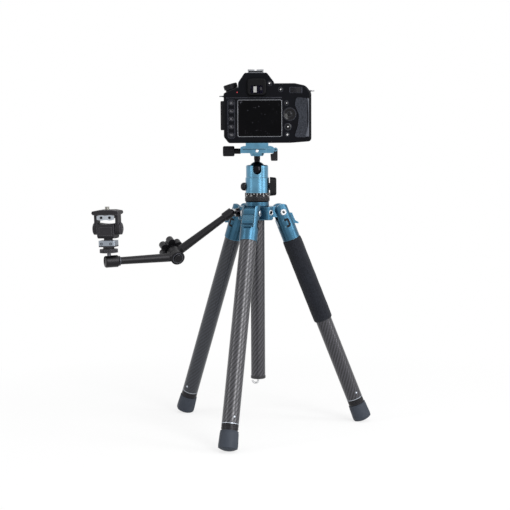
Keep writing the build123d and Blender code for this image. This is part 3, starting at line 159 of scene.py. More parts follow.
print("a mid grey of #808080 is", round(linear("#808080")[0], 3), "in linear light")

# %% [markdown]
# Anodised aluminium is turned or milled metal with a dyed, porous skin of oxide. It keeps
# the metal's reflection and adds the dye's colour, and bead blasting before the bath
# makes the reflection soft. So the finish is metallic and satin, with a faint cloudy
# change of the dye and a fine grain. Its thin pale edges are partly wear of the dye and
# partly a painted highlight, for the light that the edges catch. The edges could be
# painted by hand. The Bevel node finds them on any solid, so it is used.

# %% Blue and black anodised aluminium


def rubbed_edges(tree, tone, pale, width, most):
    # The pale edges are partly rubbed wear, about 0.5 mm wide on the real part, and partly
    # a painted highlight. They are drawn wider so that they show. There the rounded normal
    # leaves the true one, so the two are compared.
    soft = add(tree, "Bevel", {"Radius": width * MM}, samples=6)
    true = add(tree, "NewGeometry").outputs["Normal"]
    turn = add(tree, "VectorMath", {0: soft, 1: true}, operation="DOT_PRODUCT")
    wear_and_edge_light = add(tree, "MapRange", {0: turn, 1: 0.98, 2: 0.86, 3: 0.0, 4: most})
    return add(tree, "Mix", {0: wear_and_edge_light, 6: tone, 7: linear(pale)}, data_type="RGBA")


def anodised(name, dye, pale, roughness, metallic, coat):
    material, tree, shader, where = new_finish(
        name, Metallic=metallic, Coat_Weight=coat, Coat_Roughness=0.3
    )
    # Dye clouds of about 14 mm, a little lighter and darker than the card.
    cloud = add(tree, "TexNoise", {"Vector": where, "Scale": grains(14), "Detail": 3.0})
    shade = add(tree, "MapRange", {0: cloud, 1: 0.3, 2: 0.7, 3: 0.82, 4: 1.12})
    dyed = add(tree, "VectorMath", {0: linear(dye)[:3], 1: shade}, operation="MULTIPLY")
    # Pale edges: partly dye worn off, partly painted highlight.
    wear_and_edge_light = rubbed_edges(tree, dyed, pale, width=1.0, most=0.5)
    # Bead-blast grain is 0.1 mm. It is drawn at 0.9 mm, the finest that a render can hold.
    grit = add(tree, "TexNoise", {"Vector": where, "Scale": grains(0.9), "Detail": 2.0})
    rough = add(tree, "MapRange", {0: grit, 3: roughness - 0.07, 4: roughness + 0.07})
    bump = add(tree, "Bump", {"Strength": 0.12, "Distance": 0.1 * MM, "Height": grit})
    feed(shader, {"Base Color": wear_and_edge_light, "Roughness": rough, "Normal": bump})
    return material


# One blue anodising in two copies: the head's lighter copy is painted light, the darker copy on
# the spider and legs is painted shade.
shaded_blue_aluminium = anodised("blue_anodised_shaded_legs", "#365F77", "#86B2C8", 0.36, 1.0, 0.2)
lit_blue_aluminium = anodised("blue_anodised_lit_head", "#5687A2", "#A4CCDE", 0.3, 1.0, 0.25)
black_aluminium = anodised("black_anodised_aluminium", "#121115", "#4A4A50", 0.42, 0.6, 0.05)
print("finishes:", shaded_blue_aluminium.name, lit_blue_aluminium.name, black_aluminium.name)

# %% [markdown]
# Steel shows on the bolts and the hot shoe and, blued, on the arm's rings. Nickel plate
# covers the rivets and the face plate of the monitor mount, and the ball is dark chrome.
# All are bare metals. They differ in colour and in how sharp the reflection is, so one
# function makes them.

# %% Bare and plated metals


def bare_metal(name, colour, sharp, blunt, grain):
    material, tree, shader, where = new_finish(name, Metallic=1.0)
    # Polishing marks: a noise drawn out along one axis, as wide as the grain.
    lay = add(tree, "Mapping", {"Vector": where, "Scale": (1.0, 1.0, 0.12)})
    lines = add(tree, "TexNoise", {"Vector": lay, "Scale": grains(grain), "Detail": 4.0})
    rough = add(tree, "MapRange", {0: lines, 1: 0.3, 2: 0.7, 3: sharp, 4: blunt})
    shade = add(tree, "MapRange", {0: lines, 1: 0.3, 2: 0.7, 3: 0.9, 4: 1.05})
    tone = add(tree, "VectorMath", {0: linear(colour)[:3], 1: shade}, operation="MULTIPLY")
    feed(shader, {"Base Color": tone, "Roughness": rough})
    return material


steel = bare_metal("bright_steel", "#C3C5C8", 0.16, 0.32, 1.2)
nickel = bare_metal("satin_nickel_plate", "#AEB4BC", 0.3, 0.46, 1.6)
dull_steel = bare_metal("dull_steel", "#8C8E92", 0.3, 0.45, 1.4)
blued_steel = bare_metal("blued_steel", "#4E4F55", 0.3, 0.45, 1.4)
dark_chrome = bare_metal("dark_chrome", "#1C1B1E", 0.08, 0.16, 4.0)
metals = (steel, nickel, dull_steel, blued_steel, dark_chrome)
print("finishes:", *[metal.name for metal in metals])

# %% [markdown]
# Carbon fibre tube is a twill cloth of black tows in clear resin, wrapped on a mandrel.
# Each tow passes over two and under two, one step further in each row, so the eye sees
# slanted dashes, because each black tow reflects light along its own fibres. An image could
# be wrapped round the tube. Here the angle round the tube and the height along it are
# counted in tows, and a tow is painted pale where it runs on top: a painted sheen for that
# reflection.
# The tows are 1.3 mm wide and 1.85 mm apart along the tube, as the dashes in the view are.

# %% Carbon fibre twill
TOW_RISE = 1.85
CLOTH_METAL = 0.25


def in_frame(tree, where, place):
    back = place.inverted()
    shift = {"Vector": where, "Location": back.translation, "Rotation": back.to_euler()}
    local = add(tree, "Mapping", shift)
    return local, add(tree, "SeparateXYZ", {0: local}).outputs


def carbon_twill(name, place, tows, top_tow_sheen, low_tow_shade, steel_below=None, cap_below=None):
    material, tree, shader, where = new_finish(name, Coat_Weight=0.3, Coat_Roughness=0.2)
    local, (x, y, z) = in_frame(tree, where, place)
    angle = add(tree, "Math", {0: y, 1: x}, operation="ARCTAN2")
    around = add(tree, "Math", {0: angle, 1: tows / math.tau}, operation="MULTIPLY")
    along = add(tree, "Math", {0: z, 1: grains(TOW_RISE)}, operation="MULTIPLY")
    column = add(tree, "Math", {0: around}, operation="FLOOR")
    row = add(tree, "Math", {0: along}, operation="FLOOR")
    # Over two and under two is a repeat of four steps.
    step = add(tree, "Math", {0: row, 1: column}, operation="SUBTRACT")
    phase = add(tree, "Math", {0: step, 1: 4.0, 2: 0.0}, operation="WRAP")
    on_top = add(tree, "Math", {0: phase, 1: 1.5}, operation="LESS_THAN")
    # Each tow is crowned, so its height is a half wave across its width.
    crown = add(tree, "Math", {0: along, 1: math.pi}, operation="MULTIPLY")
    wave = add(tree, "Math", {0: crown}, operation="SINE")
    ridge = add(tree, "Math", {0: wave}, operation="ABSOLUTE")
    fibre = add(tree, "TexNoise", {"Vector": local, "Scale": grains(6), "Detail": 3.0})
    shade = add(tree, "MapRange", {0: fibre, 3: 0.75, 4: 1.25})
    # Pale tows on top and dark tows under them: a painted sheen for the fibres' reflection.
    weave = {0: on_top, 6: linear(low_tow_shade), 7: linear(top_tow_sheen)}
    cloth = add(tree, "Mix", weave, data_type="RGBA")
    tone = add(tree, "VectorMath", {0: cloth, 1: shade}, operation="MULTIPLY")
    metal = CLOTH_METAL
    if cap_below:  # the column ends in a plastic cap, with a steel hook under it
        cap = add(tree, "Math", {0: z, 1: cap_below}, operation="LESS_THAN")
        tone = add(tree, "Mix", {0: cap, 6: tone, 7: linear("#1D1D20")}, data_type="RGBA")
        hook = add(tree, "Math", {0: z, 1: steel_below}, operation="LESS_THAN")
        tone = add(tree, "Mix", {0: hook, 6: tone, 7: linear("#D0D1D3")}, data_type="RGBA")
        metal = add(tree, "MapRange", {0: hook, 3: CLOTH_METAL, 4: 1.0})
    rough = add(tree, "MapRange", {0: on_top, 3: 0.44, 4: 0.3})
    bump = add(tree, "Bump", {"Strength": 0.15, "Distance": 0.12 * MM, "Height": ridge})
    feed(shader, {"Base Color": tone, "Metallic": metal, "Roughness": rough, "Normal": bump})
    return material


LEG_TOWS, COLUMN_TOWS = 56, 48
HOOK_TOP, CAP_TOP = 8.5, 12.9
# The legs share one cloth. Its three tone pairs are painted light and shade: lighter on the front
# and right legs, darker and bluer on the left leg.
LIT_TOW_TONES = {
    "right": ("#38373E", "#17171B"),
    "left": ("#272B34", "#181B22"),
    "front": ("#414046", "#161619"),
}
leg_carbon = {
    side: carbon_twill(f"carbon_fibre_{side}_leg", leg_frame(side), LEG_TOWS, *LIT_TOW_TONES[side])
    for side in SIDES
}
column_carbon = carbon_twill(
    "carbon_fibre_column",
    Matrix.Translation(AXIS),
    COLUMN_TOWS,
    *LIT_TOW_TONES["front"],
    steel_below=column_low.z + HOOK_TOP * MM,
    cap_below=column_low.z + CAP_TOP * MM,
)
print("carbon tubes:", len(leg_carbon) + 1)

# %% [markdown]
# The camera is moulded ABS with a spark-eroded grain, and its grips are soft rubber with
# a leather print. The eyecup, the boots and the foam are rubbers too, from smooth to
# cellular. They are all dull, dark and without metal, and differ in grain and sheen.

# %% Moulded plastic, grip rubber, boot rubber and foam


def moulded(
    name, colour, lift, roughness, grain, depth, cells=False, edges=None, rim=1.0, **values
):
    material, tree, shader, where = new_finish(name, **values)
    kind, settings = ("TexVoronoi", {"feature": "SMOOTH_F1"}) if cells else ("TexNoise", {})
    height = add(tree, kind, {"Vector": where, "Scale": grains(grain)}, **settings)
    # Handling leaves clouds of about 22 mm between the two tones.
    cloud = add(tree, "TexNoise", {"Vector": where, "Scale": grains(22), "Detail": 4.0})
    tone = add(tree, "Mix", {0: cloud, 6: linear(colour), 7: linear(lift)}, data_type="RGBA")
    if cells:  # the pits between the cells hold less light
        pits = add(tree, "MapRange", {0: height, 1: 0.1, 2: 0.7, 3: 1.45, 4: 0.5})
        tone = add(tree, "VectorMath", {0: tone, 1: pits}, operation="MULTIPLY")
    if edges:
        # Lighter edges: partly wear, partly painted highlight.
        tone = rubbed_edges(tree, tone, edges, width=rim, most=0.8)
    rough = add(tree, "MapRange", {0: height, 3: roughness - 0.08, 4: roughness + 0.08})
    bump = add(tree, "Bump", {"Strength": 0.5, "Distance": depth * MM, "Height": height})
    feed(shader, {"Base Color": tone, "Roughness": rough, "Normal": bump})
    return material


# The eroded grain is 0.2 mm on the real shell and drawn at 0.8 mm so that it shows.
look = {"edges": "#4A4C55", "rim": 1.8, "Specular_IOR_Level": 0.06}
camera_abs = moulded("moulded_abs_shell", "#07080B", "#0C0D12", 0.3, 0.8, 0.05, **look)
look = {"edges": "#5A5B62", "Specular_IOR_Level": 0.22}
gloss_abs = moulded("polished_abs_trim", "#070709", "#0C0C0F", 0.2, 1.5, 0.02, **look)
look = {"Specular_IOR_Level": 0.3}
# A pale grey for the strip beside the thumb rubber: a painted highlight.
strip_highlight_abs = moulded("pale_highlight_trim", "#3A3D45", "#494C55", 0.34, 0.8, 0.03, **look)
boot_rubber = moulded("boot_rubber", "#2C313A", "#353B45", 0.62, 1.3, 0.06, **look)
look = {"edges": "#303036", "Specular_IOR_Level": 0.12}
smooth_rubber = moulded("smooth_rubber", "#0E0E10", "#151518", 0.5, 1.0, 0.04, **look)
look = {"edges": "#64636A", "Specular_IOR_Level": 0.25}
mount_plastic = moulded("glass_filled_nylon", "#1B191D", "#262428", 0.5, 1.2, 0.08, **look)
look = {"cells": True, "Specular_IOR_Level": 0.1}
leather_rubber = moulded("leather_print_rubber", "#24262C", "#32353C", 0.42, 1.7, 0.35, **look)
look = {"cells": True, "Sheen_Weight": 0.1, "Specular_IOR_Level": 0.2}
foam_rubber = moulded("closed_cell_foam", "#14161C", "#1C1F27", 0.9, 1.1, 0.3, **look)
print("dull finishes:", camera_abs.name, leather_rubber.name, boot_rubber.name, foam_rubber.name)

# %% [markdown]
# The eyecup is part of the same node as the grips. It is the same rubber without the
# print's grey lift, so it is darker. It could be a node of its own. Here the finish turns
# dark above the height where the eyecup starts.

# %% Dark rubber above the screen
CUP_LOW = CAMERA_BASE + 66.5 * MM
tree = leather_rubber.node_tree
shader = tree.nodes["Principled BSDF"]
spot = add(tree, "SeparateXYZ", {0: add(tree, "TexCoord").outputs["Object"]})
cup = add(tree, "Math", {0: spot.outputs[2], 1: CUP_LOW}, operation="GREATER_THAN")
tone = shader.inputs["Base Color"].links[0].from_socket
tone = add(tree, "Mix", {0: cup, 6: tone, 7: linear("#07070A")}, data_type="RGBA")
feed(shader, {"Base Color": tone})
print("eyecup starts at", round(CUP_LOW, 4))

# %% [markdown]
# The screen is a black panel under a hard clear cover, so it is almost black with a sharp
# reflection and a faint change of tone where fingers have touched it. Lens glass lets
# light through and its coating tints the reflection. The prints are thin opaque ink.

# %% Screen, glass, mirror and inks


def inked(name, colour, wear_and_edge_light):
    material, tree, shader, where = new_finish(name, Roughness=0.55)
    # Ink wears in patches of about 2.5 mm.
    patches = add(tree, "TexNoise", {"Vector": where, "Scale": grains(2.5), "Detail": 3.0})
    fade = add(tree, "MapRange", {0: patches, 1: 0.4, 2: 0.75})
    tone = add(tree, "Mix", {0: fade, 6: linear(colour), 7: linear(wear_and_edge_light)}, data_type="RGBA")
    feed(shader, {"Base Color": tone})
    return material


white_ink = inked("white_ink", "#F0F0F0", "#C4C4C8")
grey_ink = inked("grey_ink", "#66666C", "#4A4A50")
red_ink = inked("red_ink", "#C8343A", "#96282C")
green_ink = inked("green_ink", "#5FA35A", "#3F7A3C")

screen_glass, tree, shader, where = new_finish("hard_screen_cover", Specular_IOR_Level=0.04)
# Finger smears are about 18 mm wide.
smear = add(tree, "TexNoise", {"Vector": where, "Scale": grains(18), "Detail": 5.0})
touched = add(tree, "MapRange", {0: smear, 1: 0.45, 2: 0.7, 3: 0.05, 4: 0.16})
tones = {0: smear, 6: linear("#030304"), 7: linear("#08080A")}
panel = add(tree, "Mix", tones, data_type="RGBA")
# Light grey specks, about 5 mm apart and few, are mixed into the panel's colour.
speck_noise = {"Vector": where, "Scale": grains(5), "Detail": 3.0, "Roughness": 0.65}
specks = add(tree, "MapRange", {0: add(tree, "TexNoise", speck_noise), 1: 0.64, 2: 0.82})
panel = add(tree, "Mix", {0: specks, 6: panel, 7: linear("#5A5A62")}, data_type="RGBA")
feed(shader, {"Base Color": panel, "Roughness": touched})

lens_glass, tree, shader, where = new_finish(
    "coated_lens_glass", Transmission_Weight=1.0, IOR=1.6, Specular_Tint=linear("#625D80")
)
# A film of dust lies in patches of about 9 mm.
dust = add(tree, "TexNoise", {"Vector": where, "Scale": grains(9), "Detail": 3.0})
film = add(tree, "MapRange", {0: dust, 1: 0.4, 2: 0.8, 3: 0.0, 4: 0.06})
tones = {0: dust, 6: linear("#50545C"), 7: linear("#464C54")}
tint = add(tree, "Mix", tones, data_type="RGBA")
feed(shader, {"Base Color": tint, "Roughness": film})
mirror_silver = bare_metal("silvered_mirror", "#DADDE0", 0.02, 0.06, 8.0)
print("clear and printed finishes:", screen_glass.name, lens_glass.name, white_ink.name)

# %% [markdown]
# Three nodes hold more than one material: the monitor mount has a nickel shoe plate under
# a nylon trunk, its bracket carries a nickel pad bar and a steel screw, and the wrist stud
# is bright below its black wheel. They could be split in the solids. Here one finish each
# reads the height above the arm's wrist, and the bar's width across the bracket.

# %% Finishes that change with height
wrist = joint_at("wrist_swing")
mount_across = joint_axis("bracket_tilt")
mount_up = joint_axis("mount_pan")
MOUNT = axes_at(wrist, mount_across, mount_up.cross(mount_across), mount_up)


def layered(name, low, high, plain, plate, half_width=None, screw_above=None):
    material, tree, shader, where = new_finish(name, Specular_IOR_Level=0.25)
    local, (x, _, z) = in_frame(tree, where, MOUNT)
    above = add(tree, "Math", {0: z, 1: low * MM}, operation="GREATER_THAN")
    below = add(tree, "Math", {0: z, 1: high * MM}, operation="LESS_THAN")
    mask = add(tree, "Math", {0: above, 1: below}, operation="MULTIPLY")
    if half_width:
        width = add(tree, "Math", {0: x}, operation="ABSOLUTE")
        inside = add(tree, "Math", {0: width, 1: half_width * MM}, operation="LESS_THAN")
        mask = add(tree, "Math", {0: mask, 1: inside}, operation="MULTIPLY")
    if screw_above:
        screw = add(tree, "Math", {0: z, 1: screw_above * MM}, operation="GREATER_THAN")
        mask = add(tree, "Math", {0: mask, 1: screw}, operation="MAXIMUM")
    # Glass-filled nylon has a grain of about 0.3 mm, drawn at 1.3 mm so that it shows.
    grit = add(tree, "TexNoise", {"Vector": local, "Scale": grains(1.3), "Detail": 3.0})
    shade = add(tree, "MapRange", {0: grit, 3: 0.8, 4: 1.2})
    nylon = add(tree, "VectorMath", {0: linear(plain)[:3], 1: shade}, operation="MULTIPLY")
    # Lighter rims on the nylon: partly wear, partly painted highlight.
    nylon = rubbed_edges(tree, nylon, "#5C5B62", width=1.4, most=0.7)
    tone = add(tree, "Mix", {0: mask, 6: nylon, 7: linear(plate)}, data_type="RGBA")
    rough = add(tree, "MapRange", {0: mask, 3: 0.52, 4: 0.36})
    bump = add(tree, "Bump", {"Strength": 0.3, "Distance": 0.08 * MM, "Height": grit})
    feed(shader, {"Base Color": tone, "Metallic": mask, "Roughness": rough, "Normal": bump})
    return material


mount_finish = layered("nylon_trunk_on_nickel_shoe", 23.0, 30.4, "#1A181C", "#8F969F")
bracket_finish = layered(
    "nylon_bracket_with_nickel_bar", 60, 66.95, "#1A181C", "#8E8D88", 13.3, screw_above=74.2
)
stud_finish = layered("steel_stud_with_black_wheel", -12, 12.7, "#151416", "#5C5D62")
print("layered finishes at wrist", short(wrist))

# %% [markdown]
# Now each node that stays in view takes its finish. Only the material slots of the
# object change, never its mesh.

# %% Give the nodes their finishes


def dress(finish, *names):
    for name in names:
        node = nodes[name]
        node.data.materials.clear()
        node.data.materials.append(finish)


dress(shaded_blue_aluminium, "spider", "column_collar")
dress(lit_blue_aluminium, "ball_housing", "clamp_body", "clamp_jaw", "quick_plate")
dress(black_aluminium, "pan_base", "friction_knob", "clamp_lever")
dress(black_aluminium, "upper_rod", "lower_rod", "elbow_knob")
dress(smooth_rubber, "ball_lock_knob", "clamp_knob", "terminal_cover")
dress(steel, "hinge_bolts")
dress(dull_steel, "camera_fittings")
dress(dark_chrome, "ball_stem", "arm_stud")
dress(camera_abs, "front_shell", "rear_shell", "top_cover", "lens_barrel")
dress(gloss_abs, "multi_selector", "shutter_button", "playback_button", "live_view_button")
dress(gloss_abs, "info_button", "ae_lock_button", "diopter_knob")
dress(gloss_abs, *[f"menu_button_{row}" for row in range(1, 6)])
dress(smooth_rubber, "focus_ring", "mode_dial", "command_dial", "camera_core")
dress(leather_rubber, "camera_rubber")
dress(lens_glass, "camera_optics")
dress(screen_glass, "lcd_screen")
dress(mirror_silver, "reflex_mirror")
dress(column_carbon, "centre_column")
dress(mount_finish, "mount_body")
dress(bracket_finish, "tilt_bracket")
dress(stud_finish, "wrist_stud")
dress(foam_rubber, "foam_grip")
for side in SIDES:
    dress(shaded_blue_aluminium, f"shoulder_{side}", f"angle_lock_{side}")
    dress(leg_carbon[side], f"leg_tube_{side}", f"lower_leg_{side}")
print("nodes without a finish:", [name for name in nodes if not nodes[name].data.materials])

# %% [markdown]
# The pieces made by hand share a few moves. A piece is taken, so that the operators act on
# it alone, and opened for editing with everything selected. An outline of points is spun
# round an axis for anything turned, and settling a piece gives it its place, finish and
# body. A lathe modifier could spin too. The operator leaves a plain mesh at once, which is
# what the export needs.

# %% Helpers for modelling
SPUN_CREASE = 38  # degrees between two faces that still read as an edge


def drop_selection():
    if bpy.context.object and bpy.context.object.mode == "EDIT":
        bpy.ops.object.mode_set(mode="OBJECT")
    bpy.ops.object.select_all(action="DESELECT")


def take(piece):
    drop_selection()
    piece.select_set(True)
    bpy.context.view_layer.objects.active = piece


def start_edit(piece):
    take(piece)
    bpy.ops.object.mode_set(mode="EDIT")
    bpy.ops.mesh.select_all(action="SELECT")


def end_edit(crease=None):
    bpy.ops.object.mode_set(mode="OBJECT")
    if crease:
        bpy.ops.object.shade_smooth_by_angle(angle=math.radians(crease))


def spin_outline(points, steps):
    drop_selection()
    bpy.ops.mesh.primitive_circle_add(vertices=len(points), radius=MM)
    piece = bpy.context.object
    for corner, (radius, height) in zip(piece.data.vertices, points):
        corner.co = Vector((radius, 0, height)) * MM
    start_edit(piece)
    bpy.ops.mesh.spin(steps=steps, angle=math.tau, center=(0, 0, 0), axis=(0, 0, 1))
    bpy.ops.mesh.select_all(action="SELECT")
    bpy.ops.mesh.remove_doubles(threshold=0.002 * MM)
    bpy.ops.mesh.dissolve_degenerate(threshold=0.001 * MM)
    bpy.ops.mesh.normals_make_consistent(inside=False)
    end_edit(SPUN_CREASE)
    return piece


def apply_modifier(piece, kind, **settings):
    take(piece)
    modifier = piece.modifiers.new(kind.lower(), kind)
    for name, value in settings.items():
        setattr(modifier, name, value)
    bpy.ops.object.modifier_apply(modifier=modifier.name)


def settle(piece, name, finish, body, place):
    take(piece)
    piece.name = piece.data.name = name
    piece.matrix_world = place @ piece.matrix_world
    bpy.ops.object.transform_apply()
    piece.data.materials.clear()
    piece.data.materials.append(finish)
    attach(piece, body)
    return piece


print("modelling helpers ready")

# %% [markdown]
# The grip is a sleeve of closed-cell foam, slid onto one leg. Its ends are cut and soften
# to round lips, and hands leave its surface a little uneven. A plain tube would look like
# plastic, so the spun sleeve is subdivided and a cloud texture moves its skin by a fifth
# of a millimetre.

# %% Foam sleeve on the right leg
SLEEVE_TOP, SLEEVE_END = -43.3, -175.9
SLEEVE_R, BORE_R = 14.3, 12.1
LIP = 6
STATIONS = 14
rounds = [(BORE_R, 0), (BORE_R + 0.9, 0.1), (SLEEVE_R - 0.5, 0.9), (SLEEVE_R - 0.1, 2.2)]
upper = [(radius, SLEEVE_TOP - drop) for radius, drop in rounds]
lower = [(radius, SLEEVE_END + drop) for radius, drop in reversed(rounds)]
run = SLEEVE_END - SLEEVE_TOP + 2 * LIP
middle = [
    (SLEEVE_R + 0.12 * math.sin(2.3 * i), SLEEVE_TOP - LIP + run * i / (STATIONS - 1))
    for i in range(STATIONS)
]
sleeve = spin_outline(upper + middle + lower, 40)
apply_modifier(sleeve, "SUBSURF", levels=2, render_levels=2)
dimples = bpy.data.textures.new("foam_dimples", "CLOUDS")
dimples.noise_scale = 7 * MM
skin = {"texture": dimples, "texture_coords": "LOCAL", "strength": 0.3 * MM, "mid_level": 0.6}
apply_modifier(sleeve, "DISPLACE", **skin)
bpy.ops.object.shade_smooth()
settle(sleeve, "foam_sleeve", foam_rubber, "leg_right", leg_frame("right"))
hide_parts("foam_grip")
print("foam sleeve:", len(sleeve.data.polygons), "faces")

# %% [markdown]
# What repeats is modelled once, upright at the origin, and each use is a copy with its own
# mesh. The template is thrown away at the end. Cut pieces get their sharp edges softened
# by a small bevel, because a perfectly sharp edge catches no light.

# %% Copies, softened edges and outlines
CUT_CREASE = 35


def copied(piece):
    take(piece)
    bpy.ops.object.duplicate(linked=False)
    return bpy.context.object


def discard(*templates):
    for template in templates:
        bpy.data.objects.remove(template)


def soften(piece, width, crease=None, **settings):
    apply_modifier(
        piece, "BEVEL", width=width * MM, segments=2, limit_method="ANGLE", **settings
    )
    if crease:
        bpy.ops.object.shade_smooth_by_angle(angle=math.radians(crease))


def below(top, points):
    return [(radius, top - drop) for radius, drop in points]


def wall(inner, outer, start, end):
    return [(inner, start), (outer, start), (outer, end), (inner, end)]


print("a wall outline has", len(wall(1, 2, 0, 1)), "points")

# %% [markdown]
# Each lower leg is an inner carbon tube, a grooved end ring and a rubber boot. The boot is
# moulded: a stub that widens towards the floor, with three flats for the fingers and a
# domed sole with tread grooves. It is spun, then three bisects cut the flats and a bevel
# rounds what they leave.

# %% Boots, end rings and inner tubes
TUBE_END = -308.0
RING_TOP = TUBE_END - 0.1
BOOT_TOP = RING_TOP - 9
BOOT_END = BOOT_TOP - 28
DOME_R = 26
FLAT_REACH = 12.9
GROOVE = 1.0
INNER_TOP, INNER_END = -33, BOOT_TOP - 12.9


def sole(radius, rise=0.0):
    return (radius, BOOT_END + DOME_R - math.sqrt(DOME_R**2 - radius**2) + rise)


boot = spin_outline(
    below(BOOT_TOP, [(10.6, 0), (12.1, 0), (12.8, 0.5), (13.0, 1.4), (12.7, 2.4)])
    + below(BOOT_TOP, [(13.15, 3.6), (13.6, 13), (13.95, 20)])
    + [sole(13.6), sole(12.6), sole(11.9, GROOVE), sole(11.2), sole(9.0), sole(8.4, GROOVE)]
    + [sole(7.8), sole(5.0), sole(2.0), (0.0, BOOT_END)]
    + below(BOOT_TOP, [(0.0, 13), (10.6, 13)]),
    48,
)
for turn in (60, 180, 300):
    way = Vector((math.cos(math.radians(turn)), math.sin(math.radians(turn)), 0))
    start_edit(boot)
    spot = way * FLAT_REACH * MM
    bpy.ops.mesh.bisect(plane_co=spot, plane_no=way, clear_outer=True, use_fill=True)
    end_edit()
soften(boot, 0.35, crease=40, angle_limit=math.radians(24))
ring = spin_outline(
    below(RING_TOP, [(10.6, 0), (11.5, 0), (12.0, 0.6), (12.0, 3.4), (11.5, 3.7)])
    + below(RING_TOP, [(11.5, 4.2), (12.0, 4.5), (12.0, 7.0), (11.4, 7.3)])
    + [(11.4, BOOT_TOP + 0.2), (10.6, BOOT_TOP + 0.2)],
    64,
)
inner = spin_outline(wall(9.1, 10.44, INNER_TOP, INNER_END), 64)
edge = spin_outline(wall(11.2, 12.1, TUBE_END + 0.9, TUBE_END + 0.05), 64)

for side in SIDES:
    place, leg = leg_frame(side), f"lower_{side}"
    carbon = leg_carbon[side]
    settle(copied(boot), f"boot_{side}", boot_rubber, leg, place)
    settle(copied(ring), f"end_ring_{side}", black_aluminium, leg, place)
    tube = settle(copied(inner), f"inner_tube_{side}", carbon, leg, place)
    settle(copied(edge), f"tube_edge_{side}", nickel, f"leg_{side}", place)
    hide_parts(f"lower_leg_{side}")
discard(boot, ring, inner, edge)
print("three lower legs, each with a boot, a ring and an inner tube")

# %% [markdown]
# A small rivet near the end of each outer tube holds the bushing inside. It is a shallow
# dome, pressed from a sphere, and it sits on the side of the tube that faces the viewer,
# a little to the left or right.

# %% Rivets near the tube ends
RIVET_TURN = {"right": 27, "left": -32, "front": 24}
RIVET_SEAT = Vector((11.9, 0, TUBE_END + 9.5)) * MM
drop_selection()
bpy.ops.mesh.primitive_uv_sphere_add(segments=20, ring_count=12, radius=1.6 * MM)
rivet = bpy.context.object
start_edit(rivet)
bpy.ops.transform.resize(value=(0.42, 1, 1), center_override=(0, 0, 0))
end_edit()
bpy.ops.object.shade_smooth()
for side in SIDES:
    place = leg_frame(side)
    into_leg = place.to_3x3().inverted()
    toward, rightward = into_leg @ Vector((0, -1, 0)), into_leg @ Vector((1, 0, 0))
    facing = math.atan2(toward.y, toward.x)
    sense = 1 if math.sin(math.atan2(rightward.y, rightward.x) - facing) > 0 else -1
    spot = facing + sense * math.radians(RIVET_TURN[side])
    seat = Matrix.Rotation(spot, 4, "Z") @ Matrix.Translation(RIVET_SEAT)
    settle(copied(rivet), f"tube_rivet_{side}", nickel, f"leg_{side}", place @ seat)
discard(rivet)
print("rivets:", len(SIDES))

# %% [markdown]
# Both sides of each shoulder have a C-shaped key groove, and a black C-shaped piece in it
# is painted shade for the dark groove. Each head of the hinge bolt has a hexagon socket, and
# a black hexagon on it is painted shade for the socket's depth. A bright thread ring stands
# in each free accessory port. The C starts as a plane with rounded corners, inset to a
# frame, cut open on one side and laid on the round of the shoulder. The hexagon is an
# outline spun in six steps, and a ring is spun in many.

# %% Painted shade in key grooves and bolt sockets, and port rings
KEY_SHIFT, KEY_DROP = -1, -17.0
SHOULDER_ROUND = 13.05
BOLT_FACE = 13.58
PORT_REACH = 28.3


def rounded_frame(width, height, corner, rim):
    drop_selection()
    bpy.ops.mesh.primitive_plane_add(size=1)
    piece = bpy.context.object
    piece.scale = (width * MM, height * MM, 1)
    bpy.ops.object.transform_apply()
    start_edit(piece)
    bpy.ops.mesh.bevel(offset=corner * MM, segments=5, affect="VERTICES")
    bpy.ops.mesh.select_all(action="SELECT")
    bpy.ops.mesh.inset(thickness=rim * MM)
    bpy.ops.mesh.delete(type="FACE")
    end_edit()
    return piece


# The black C: painted shade in the key groove.
key = rounded_frame(10.0, 13.4, 3.2, 3.2)
start_edit(key)
bpy.ops.mesh.bisect(plane_co=(-1.7 * MM, 0, 0), plane_no=(-1, 0, 0), clear_outer=True)
bpy.ops.mesh.select_all(action="SELECT")
bpy.ops.mesh.subdivide(number_cuts=2)
end_edit()
for corner in key.data.vertices:
    across = corner.co.x / MM + KEY_SHIFT
    corner.co.z = math.sqrt(SHOULDER_ROUND**2 - across**2) * MM
apply_modifier(key, "SOLIDIFY", thickness=0.6 * MM, offset=0.0)
soften(key, 0.12)
# A flat black hexagon: painted shade for the bolt's socket.
socket = spin_outline(
    [(0, -0.15), (2.1, -0.15), (2.1, 0.1), (1.9, 0.14), (0.5, 0.02), (0, -0.1)], 6
)
thread = spin_outline(
    [(2.75, -0.5), (3.8, -0.5), (3.8, 0.12), (3.6, 0.25), (3.0, 0.25), (2.75, 0.1)], 32
)

for side in SIDES:
    place = leg_frame(side)
    for face, number in ((-1, 1), (1, 2)):
        sideways = ((-face, 0, 0), (0, 0, 1), (0, face, 0))
        turn = Matrix.Rotation(0 if face < 0 else math.pi, 4, "Z")
        seat = place @ axes_at(Vector((KEY_SHIFT, 0, KEY_DROP)) * MM, *sideways) @ turn
        name = f"key_insert_{side}_{number}"
        settle(copied(key), name, smooth_rubber, f"leg_{side}", seat)
        seat = place @ axes_at(Vector((0, face * BOLT_FACE, 0)) * MM, *sideways)
        settle(copied(socket), f"bolt_socket_shade_{side}_{number}", gloss_abs, "spider", seat)
hub = Vector((AXIS.x, AXIS.y, joint_at("leg_front_fold").z))
for name, azimuth in (("right", 315), ("rear", 75)):
    turn = math.radians(azimuth)
    outward = Vector((math.cos(turn), math.sin(turn), 0))
    across = outward.cross((0, 0, -1))
    seat = axes_at(hub + outward * PORT_REACH * MM, across, (0, 0, 1), outward)
    settle(copied(thread), f"port_ring_{name}", steel, "spider", seat)
discard(key, socket, thread)
print("key groove shades and sockets:", 4 * len(SIDES), "and two port rings")

